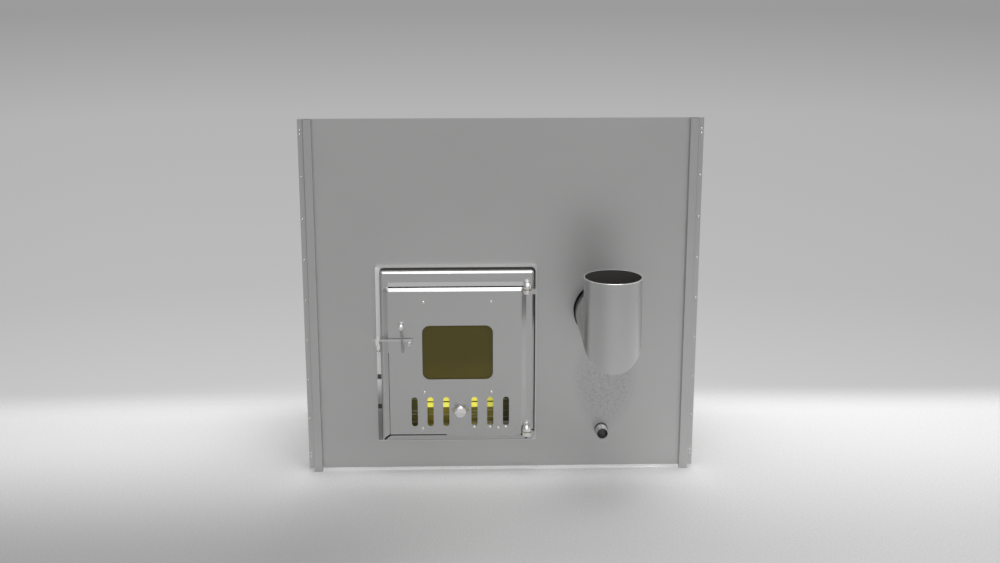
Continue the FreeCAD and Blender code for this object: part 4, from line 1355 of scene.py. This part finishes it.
# %% Knuckles and arms on the frame
ARM = 2.8
ARM_FRONT = 6.0
ARM_BACK = 9.0
for level in ("lower", "upper"):
    node = f"hinge_frame_{level}"
    low, high = drawn(node)
    tall = high.z - low.z
    profile = [(KNUCKLE - 0.6, 0), (KNUCKLE, 0.6), (KNUCKLE, tall - 0.4), (KNUCKLE - 0.4, tall)]
    arm = turned(f"hinge_arm_{level}", at(*HINGE, low.z), profile, 2, 40)
    front = block(
        "front", at(HINGE[0], HINGE[1] - ARM_FRONT, low.z + EASE),
        at(high.x, HINGE[1] + ARM_BACK, high.z - EASE),
    )
    bend = at(high.x - ARM, 0, 0)
    choose(front, "FACE", lambda place, normal: normal.y > 0.99)
    bpy.ops.mesh.bisect(plane_co=bend, plane_no=(1, 0, 0))
    choose(front, "FACE", lambda place, normal: normal.y > 0.99 and place.x > bend.x)
    extrude((0, (high.y - HINGE[1] - ARM_BACK) * MM, 0))
    leave_edit()
    combine(arm, [front], "UNION")
    soften(arm, 0.4)
    settle(arm, "stove", [door_steel, ball_steel], "frame_steel", node)
    paint(arm, lambda place, normal: place.x / MM < HINGE[0] + KNUCKLE)

# %% [markdown]
# ## Knob and screws
# The knob that moves the air plate is turned with a waist for two fingers. The screws have domed
# heads with a cross recess: one is modelled and copied to each place.

# %% Air knob
low, high = drawn("air_knob")
tip = low.y
knob = turned(
    "air_knob_turning", at(KNOB[0], 0, KNOB[1]),
    [(4.0, high.y), (4.0, face - 0.5), (7.5, face - 0.5), (8.0, face - 1.0), (8.0, face - 2.0),
     (7.5, face - 2.5), (6.2, face - 3.2), (5.7, face - 6.0), (6.3, tip + 9.2), (8.6, tip + 7.9),
     (12.0, tip + 6.6), (12.8, tip + 5.9), (13.0, tip + 5.0), (12.8, tip + 3.8), (12.0, tip + 2.4),
     (10.4, tip + 1.2), (8.0, tip + 0.5), (4.5, tip + 0.1), (0.1, tip)],
    sides=64,
)
soften(knob, 0)
settle(knob, "air_slide", bright_steel, "polished_steel", "air_knob")

# %% Door screws
SCREWS = (
    (-169.0, 394.0), (-23.0, 394.0), (-169.0, 189.0), (-23.0, 189.0), (-174.0, 105.0), (-8.0, 105.0),
)
HEAD = 3.6
HEAD_ANGLES = (0.0, 0.3, 0.6, 0.9, 1.2)
CROSS_LONG, CROSS_THIN = 1.3, 0.3
CROSS_DEEP = 1.0
low, high = drawn("door_screws")
head = low.y
profile = [(1.7, high.y), (2.0, high.y - 0.4), (2.0, face)]
profile += [(HEAD * math.cos(a), face - (face - head) * math.sin(a)) for a in HEAD_ANGLES]
first_x, first_z = SCREWS[0]
screw = turned("screw", at(first_x, 0, first_z), profile + [(0.1, head)], sides=32)
for wide, tall in ((CROSS_LONG, CROSS_THIN), (CROSS_THIN, CROSS_LONG)):
    cross = block(
        "cross", at(first_x - wide, head - CROSS_DEEP, first_z - tall),
        at(first_x + wide, head + CROSS_DEEP, first_z + tall),
    )
    combine(screw, [cross], "DIFFERENCE")
copies = [copy_to(screw, ((x - first_x) * MM, 0, (z - first_z) * MM)) for x, z in SCREWS[1:]]
screws = gather("door_screw_set", [screw] + copies)
soften(screws, 0)
settle(screws, "door", fastener_steel, "fastener_steel", "door_screws")

# %% [markdown]
# ## The lower glass strip
# Through the air slots shows the yellow strip that holds the glass from below. It has a fold along
# its length, and its faces in the fold are painted dark as shade, so the fold is a dark line. One
# groove in a block is enough.

# %% Lower glass strip
FOLD_DROP = 46.5
FOLD_HALF = 1.3
FOLD_DEEP = 0.9
STRIP_SHORT = 5.0
low, high = drawn("glass_retainer_lower")
fold = high.z - FOLD_DROP
strip = block(
    "glass_strip_lower", at(low.x + STRIP_SHORT, low.y, low.z), at(high.x - STRIP_SHORT, high.y, high.z),
)
crease = block(
    "groove", at(low.x - BEYOND, low.y - BEYOND, fold - FOLD_HALF),
    at(high.x + BEYOND, low.y + FOLD_DEEP, fold + FOLD_HALF),
)
combine(strip, [crease], "DIFFERENCE")
soften(strip, 0.3)
settle(strip, "door", [yellow_zinc, soot_and_shade], "yellow_zinc", "glass_retainer_lower")


def in_the_fold(place, normal):
    off = abs((place.z - panel_low.z) / MM - fold)
    return off <= FOLD_HALF + 0.01 and place.y < at(0, high.y - 0.1, 0).y


# The faces in the fold get the dark finish: painted shade
paint(strip, in_the_fold)

# %% [markdown]
# ## The liner
# A second sheet closes the door at the back, so that air can rise between the two and wash the glass.
# Its front has the olive tint that shows through the slots. Its back faces the fire and is browned.

# %% Liner
LINER_CORNER = 4.5
LINER_WINDOW_CORNER = 30.0
LINER_MARGIN = 14.0
low, high = drawn("door_liner")
liner = rounded("liner_sheet", at(*low), at(*high), LINER_CORNER)
x0, x1, z0, z1 = WINDOW
opening = rounded(
    "opening", at(x0 - LINER_MARGIN, low.y - BEYOND, z0 - LINER_MARGIN),
    at(x1 + LINER_MARGIN, high.y + BEYOND, z1 + LINER_MARGIN), LINER_WINDOW_CORNER, segments=10,
)
combine(liner, [opening], "DIFFERENCE")
soften(liner, 0.5)
settle(liner, "door", [warm_steel, olive_steel], "hot_steel", "door_liner")
paint(liner, lambda place, normal: normal.y < -0.5)

# %% [markdown]
# ## Seal rope
# A woven rope is pressed into the gap between the door and its frame. The ring of the frame has
# square edges; wide bevels make it a soft cord again.

# %% Seal rope
ROPE = 10.0
ROPE_OUTER, ROPE_INNER = 15.0, 5.0
low, high = drawn("door_seal")
rope = rounded("seal_cord", at(*low), at(*high), ROPE_OUTER)
inner = rounded(
    "inner", at(low.x + ROPE, low.y - BEYOND, low.z + ROPE),
    at(high.x - ROPE, high.y + BEYOND, high.z - ROPE), ROPE_INNER,
)
combine(rope, [inner], "DIFFERENCE")
soften(rope, 1.6, 4)
settle(rope, "door", seal_weave, "seal_rope", "door_seal")

# %% [markdown]
# ## Welded body
# The water jacket is welded along all its edges, and so are the spigots. A straight bead is a thin
# rod whose radius swells with every ripple. Three lengths are modelled and copied to the edges.

# %% Straight beads on the jacket
RIPPLE = 4.5
BEAD = 2.0


def bead(length, along):
    count = round(length / RIPPLE)
    step = length / count
    profile = [(BEAD * 0.5, 0)]
    for ripple in range(count):
        profile += [(BEAD * 1.15, (ripple + 0.35) * step), (BEAD * 0.9, (ripple + 0.95) * step)]
    return turned("seam", at(0, 0, 0), profile + [(BEAD * 0.5, length)], along, 8)


front_low, front_high = drawn("jacket_front")
rear_high = drawn("jacket_rear")[1]
ends = [
    (front_low.x, front_high.x), (front_low.y, rear_high.y), (front_low.z, front_high.z),
]
beads = []
for along, (start, end) in enumerate(ends):
    model = bead(end - start, along)
    one, other = (axis for axis in range(3) if axis != along)
    for first in ends[one]:
        for second in ends[other]:
            place = Vector((start, start, start))
            place[one], place[other] = first, second
            beads.append(copy_to(model, place * MM))
    bpy.data.objects.remove(model, do_unlink=True)
welds = gather("jacket_welds", beads)
soften(welds, 0)
settle(welds, "stove", weld_metal, "jacket_steel")

# %% [markdown]
# ## Water spigots
# Two pipes at the back lead the water to the tub. Each has a rolled bead that keeps the hose on,
# and a ring of weld at its root. The ring is a torus whose every third row is pushed out a little.

# %% Spigots and their rings of weld
SPIGOT_BORE = 28.15
SPIGOT = 30.15
COLLAR = 32.4
COLLAR_ROWS = 120
for name in ("water_inlet", "water_outlet"):
    low, high = drawn(name)
    root, tip = low.y, high.y
    z = middle(low.z, high.z)
    spigot = turned(
        f"{name}_spigot", at(0, 0, z),
        [(SPIGOT_BORE, root), (32.0, root), (32.0, root + 7.5), (31.5, root + 8.0), (SPIGOT, root + 8.1),
         (SPIGOT, tip - 15), (30.6, tip - 13.6), (31.2, tip - 12.4), (31.4, tip - 11.2), (31.2, tip - 10),
         (30.6, tip - 8.8), (SPIGOT, tip - 7.4), (SPIGOT, tip - 0.8), (29.7, tip - 0.1), (28.8, tip),
         (SPIGOT_BORE, tip - 0.6), (SPIGOT_BORE, root + 0.02)],
        sides=96,
    )
    soften(spigot, 0)
    settle(spigot, "stove", bracket_steel, "jacket_steel", name)
    collar = ring(f"{name}_weld", COLLAR, BEAD, COLLAR_ROWS, 8, (0, 0, 0))
    turn = 2 * math.pi / COLLAR_ROWS
    choose(collar, "VERT", lambda place, normal: round(math.atan2(place.y, place.x) / turn) % 3 == 0)
    bpy.ops.transform.shrink_fatten(value=BEAD * 0.28 * MM)
    leave_edit()
    upright = Matrix.Rotation(math.radians(90), 4, "X")
    collar.data.transform(Matrix.Translation(at(0, rear_high.y, z)) @ upright)
    soften(collar, 0)
    settle(collar, "stove", weld_metal, "jacket_steel")

# %% [markdown]
# ## Legs
# The body stands on four square tubes with sole plates. One leg is a rounded tube joined to its
# plate. It is copied to the other three corners.

# %% Legs
TUBE, TUBE_CORNER = 20.0, 5.0
SOLE, SOLE_CORNER = 30.0, 6.0
SOLE_PLATE = 4.0
low, high = drawn("legs")
leg_x, leg_y = low.x + SOLE, low.y + SOLE
tube = rounded(
    "leg", at(leg_x - TUBE, leg_y - TUBE, low.z + SOLE_PLATE - 0.5),
    at(leg_x + TUBE, leg_y + TUBE, high.z), TUBE_CORNER, along=2,
)
sole = rounded(
    "sole", at(leg_x - SOLE, leg_y - SOLE, low.z),
    at(leg_x + SOLE, leg_y + SOLE, low.z + SOLE_PLATE), SOLE_CORNER, along=2,
)
combine(tube, [sole], "UNION")
soften(tube, 0.6)
wide = (high.x - low.x - 2 * SOLE) * MM
deep = (high.y - low.y - 2 * SOLE) * MM
copies = [copy_to(tube, offset) for offset in ((wide, 0, 0), (0, deep, 0), (wide, deep, 0))]
stand = gather("leg_set", [tube] + copies)
settle(stand, "stove", bracket_steel, "jacket_steel", "legs")

# %% [markdown]
# ## The rest of the frame
# Plates, strips and hidden pieces whose solids already have the right shape keep them, and only get
# their finish.

# %% Finishes on the frame's own solids
plain_nodes = {
    panel_steel: ("front_panel",),
    amber_glass: ("window_glass",),
    seal_weave: ("glass_gasket",),
    yellow_zinc: ("glass_retainer_upper",),
    brass: ("hinge_washers",),
    cast_iron: ("grate",),
    jacket_steel: (
        "jacket_front", "jacket_rear", "jacket_left", "jacket_right", "jacket_top", "jacket_bottom",
    ),
    bracket_steel: ("panel_bracket_left", "panel_bracket_right"),
    warm_steel: ("door_neck",),
    olive_steel: ("air_plate", "slide_support"),
    soot_and_shade: (
        "firebox_left", "firebox_right", "firebox_top", "firebox_rear", "smoke_partition", "baffle",
    ),
    fired: ("firebox_floor", "grate_stands", "ash_tray"),
    fastener_steel: (
        "guide_sleeves", "screw_nuts", "knob_screw", "hinge_pins", "latch_spacer", "keeper_screws",
    ),
}
for finish, names in plain_nodes.items():
    for name in names:
        nodes[name].data.materials.clear()
        nodes[name].data.materials.append(finish)
print("frame nodes with a finish:", sum(len(names) for names in plain_nodes.values()))

# %% [markdown]
# ## The floor
# The stove stands on a plain pale floor that melts into the backdrop: its far edge fades out. Seen
# from the camera the floor is painted darker to the front and to the left, as shade. What the steel
# mirrors of it is a plainer grey, with a little painted shade on the left, so that the panel keeps an
# even tone.

# %% Floor
FLOOR_SIZE = (14, 8.0, 1)
FLOOR_MIDDLE = (0, -2.4, 0)
FRONT = (-0.60, 0.05)
LEFT = (-0.45, 0.0)
MIRRORED_LEFT = (-0.7, 0.6)
MIRRORED_NEAR = (-3.0, -0.8)
FADES = (0.20, 0.42)
clear_selection()
bpy.ops.mesh.primitive_plane_add(size=1, location=FLOOR_MIDDLE)
bpy.context.object.scale = FLOOR_SIZE
floor = made_at_once("studio_floor")
floor_paint, shader, place = new_finish("floor_paint")
fleck = place.noise(220, 3, 0.6)


def flecked(dark, light):
    return fleck.band(0.3, 0.7).blend(grey(dark), grey(light))


across, depth = place.axis(0), place.axis(1)
in_front = 1 - depth.band(*FRONT)
to_the_left = 1 - across.band(*LEFT)
# Painted shade on the floor as the camera sees it, darker to the front and to the left
floor_painted_shade = (0.4 * in_front + 0.6 * in_front * to_the_left).blend(flecked(0.76, 0.85), flecked(0.41, 0.46))
# Painted shade in what the steel mirrors, a little darker on the left
mirrored_painted_shade = (1 - across.band(*MIRRORED_LEFT)) * (0.3 + 0.7 * depth.band(*MIRRORED_NEAR))
in_steel = mirrored_painted_shade.blend(flecked(0.66, 0.74), flecked(0.56, 0.63))
looked_at = place.node("ShaderNodeLightPath", {}, output="Is Camera Ray")
feed(
    shader,
    Base_Color=looked_at.blend(in_steel, floor_painted_shade),
    Roughness=0.55 + 0.1 * (fleck - 0.5),
    Alpha=1 - depth.band(*FADES),
)
floor.data.materials.append(floor_paint)
print("floor:", FLOOR_SIZE[0], "by", FLOOR_SIZE[1], "m")

# %% [markdown]
# ## The backdrop
# The world is a pale grey wall that grows darker upwards, as a studio wall does, and darker to its
# left and right. Light Path shows that wall to the camera and in the metal only. All other rays get
# an even grey, which lights the stove softly.

# %% World
HORIZON, WALL_TALL = -0.36, 0.5
WALL_GREYS = [
    (0.0, 0.85), (0.04, 0.70), (0.08, 0.58), (0.21, 0.50), (0.45, 0.46), (0.59, 0.33), (0.72, 0.36),
    (1.0, 0.85),
]
WALL_MIDDLE = -0.06
world = bpy.data.worlds.new("studio")
bpy.context.scene.world = world
world.use_nodes = True
tree = world.node_tree
ground = tree.nodes["Background"]
direction = Signal(tree, tree.nodes.new("ShaderNodeTexCoord").outputs["Generated"])
wall = direction.node(
    "ShaderNodeValToRGB", {0: (direction.axis(2) - HORIZON) / WALL_TALL},
    {"stops": [(stop, grey(level)) for stop, level in WALL_GREYS]},
)
seen, glossy, clear = (
    direction.node("ShaderNodeLightPath", {}, output=f"Is {kind} Ray")
    for kind in ("Camera", "Glossy", "Transmission")
)
mirrored = glossy + clear
sideways = direction.axis(0) - WALL_MIDDLE
edges = abs(sideways).band(0.15, 0.75) * (1 - 0.5 * sideways.band(0.0, 0.2))
wall = (edges * (0.25 * seen + 0.75 * mirrored).clamp()).blend(wall, grey(0.12))
behind = direction.axis(1).band(0.0, 0.5) * direction.axis(2).band(0.02, 0.14)
wall = behind.blend(wall, grey(0.45))
shown = (seen + mirrored).clamp().blend(grey(0.36), wall)
tree.links.new(shown.socket, ground.inputs["Color"])
ground.inputs["Strength"].default_value = 1.0
print("backdrop:", world.name, "with", len(WALL_GREYS), "greys")

# %% [markdown]
# ## Light
# A wide soft box hangs overhead and a little in front, and draws the bright lines on every upper
# edge. A second one behind the panel and two narrow strips at its foot light only the floor: they
# are kept out of reflections, so that the steel does not glare.

# %% Soft boxes
def soft_box(name, place, target, size, power, in_metal=True):
    clear_selection()
    aim = (Vector(target) - Vector(place)).to_track_quat("-Z", "Y").to_euler()
    bpy.ops.object.light_add(type="AREA", location=place, rotation=aim)
    lamp = bpy.context.object
    lamp.name = name
    lamp.data.shape = "RECTANGLE"
    lamp.data.size, lamp.data.size_y = size
    lamp.data.energy = power
    lamp.visible_camera = False
    lamp.visible_glossy = in_metal
    print(f"{name}: {power} W")


soft_box("overhead_box", (0.35, -1.1, 3.0), (0.35, -0.9, 0), (1.5, 2.4), 32)
for name, y, z, size, power in (
    ("foot_strip", panel_low.y + 0.035, 0.05, (0.80, 0.03), 0.22),
    ("front_strip", panel_low.y - 0.05, 0.09, (0.84, 0.04), 0.12),
):
    soft_box(name, (0, y, z), (0, y, 0), size, power, in_metal=False)
soft_box("rear_box", (0.3, 0.85, 1.6), (0.3, 0.3, 0), (3.6, 1.0), 34, in_metal=False)

# %% [markdown]
# ## Camera
# The camera stands about three metres away, a little left of the middle, and looks down on the
# panel. Its place was fitted so that the panel's corners, the door and the flue fall where they
# should in the picture.

# %% Camera
CAMERA_AT = (-0.0855, -3.0577, 1.2103)
LOOKS_AT = (-0.00278, -0.1385, 0.4355)
clear_selection()
bpy.ops.object.camera_add(location=CAMERA_AT)
camera = bpy.context.object
camera.name = "photo_camera"
aim = Vector(LOOKS_AT) - camera.location
camera.rotation_euler = aim.to_track_quat("-Z", "Y").to_euler()
camera.data.lens = 50
camera.data.sensor_width = 36
bpy.context.scene.camera = camera
bpy.context.scene.view_settings.view_transform = "Standard"
print("camera at", tuple(round(v, 3) for v in camera.location))
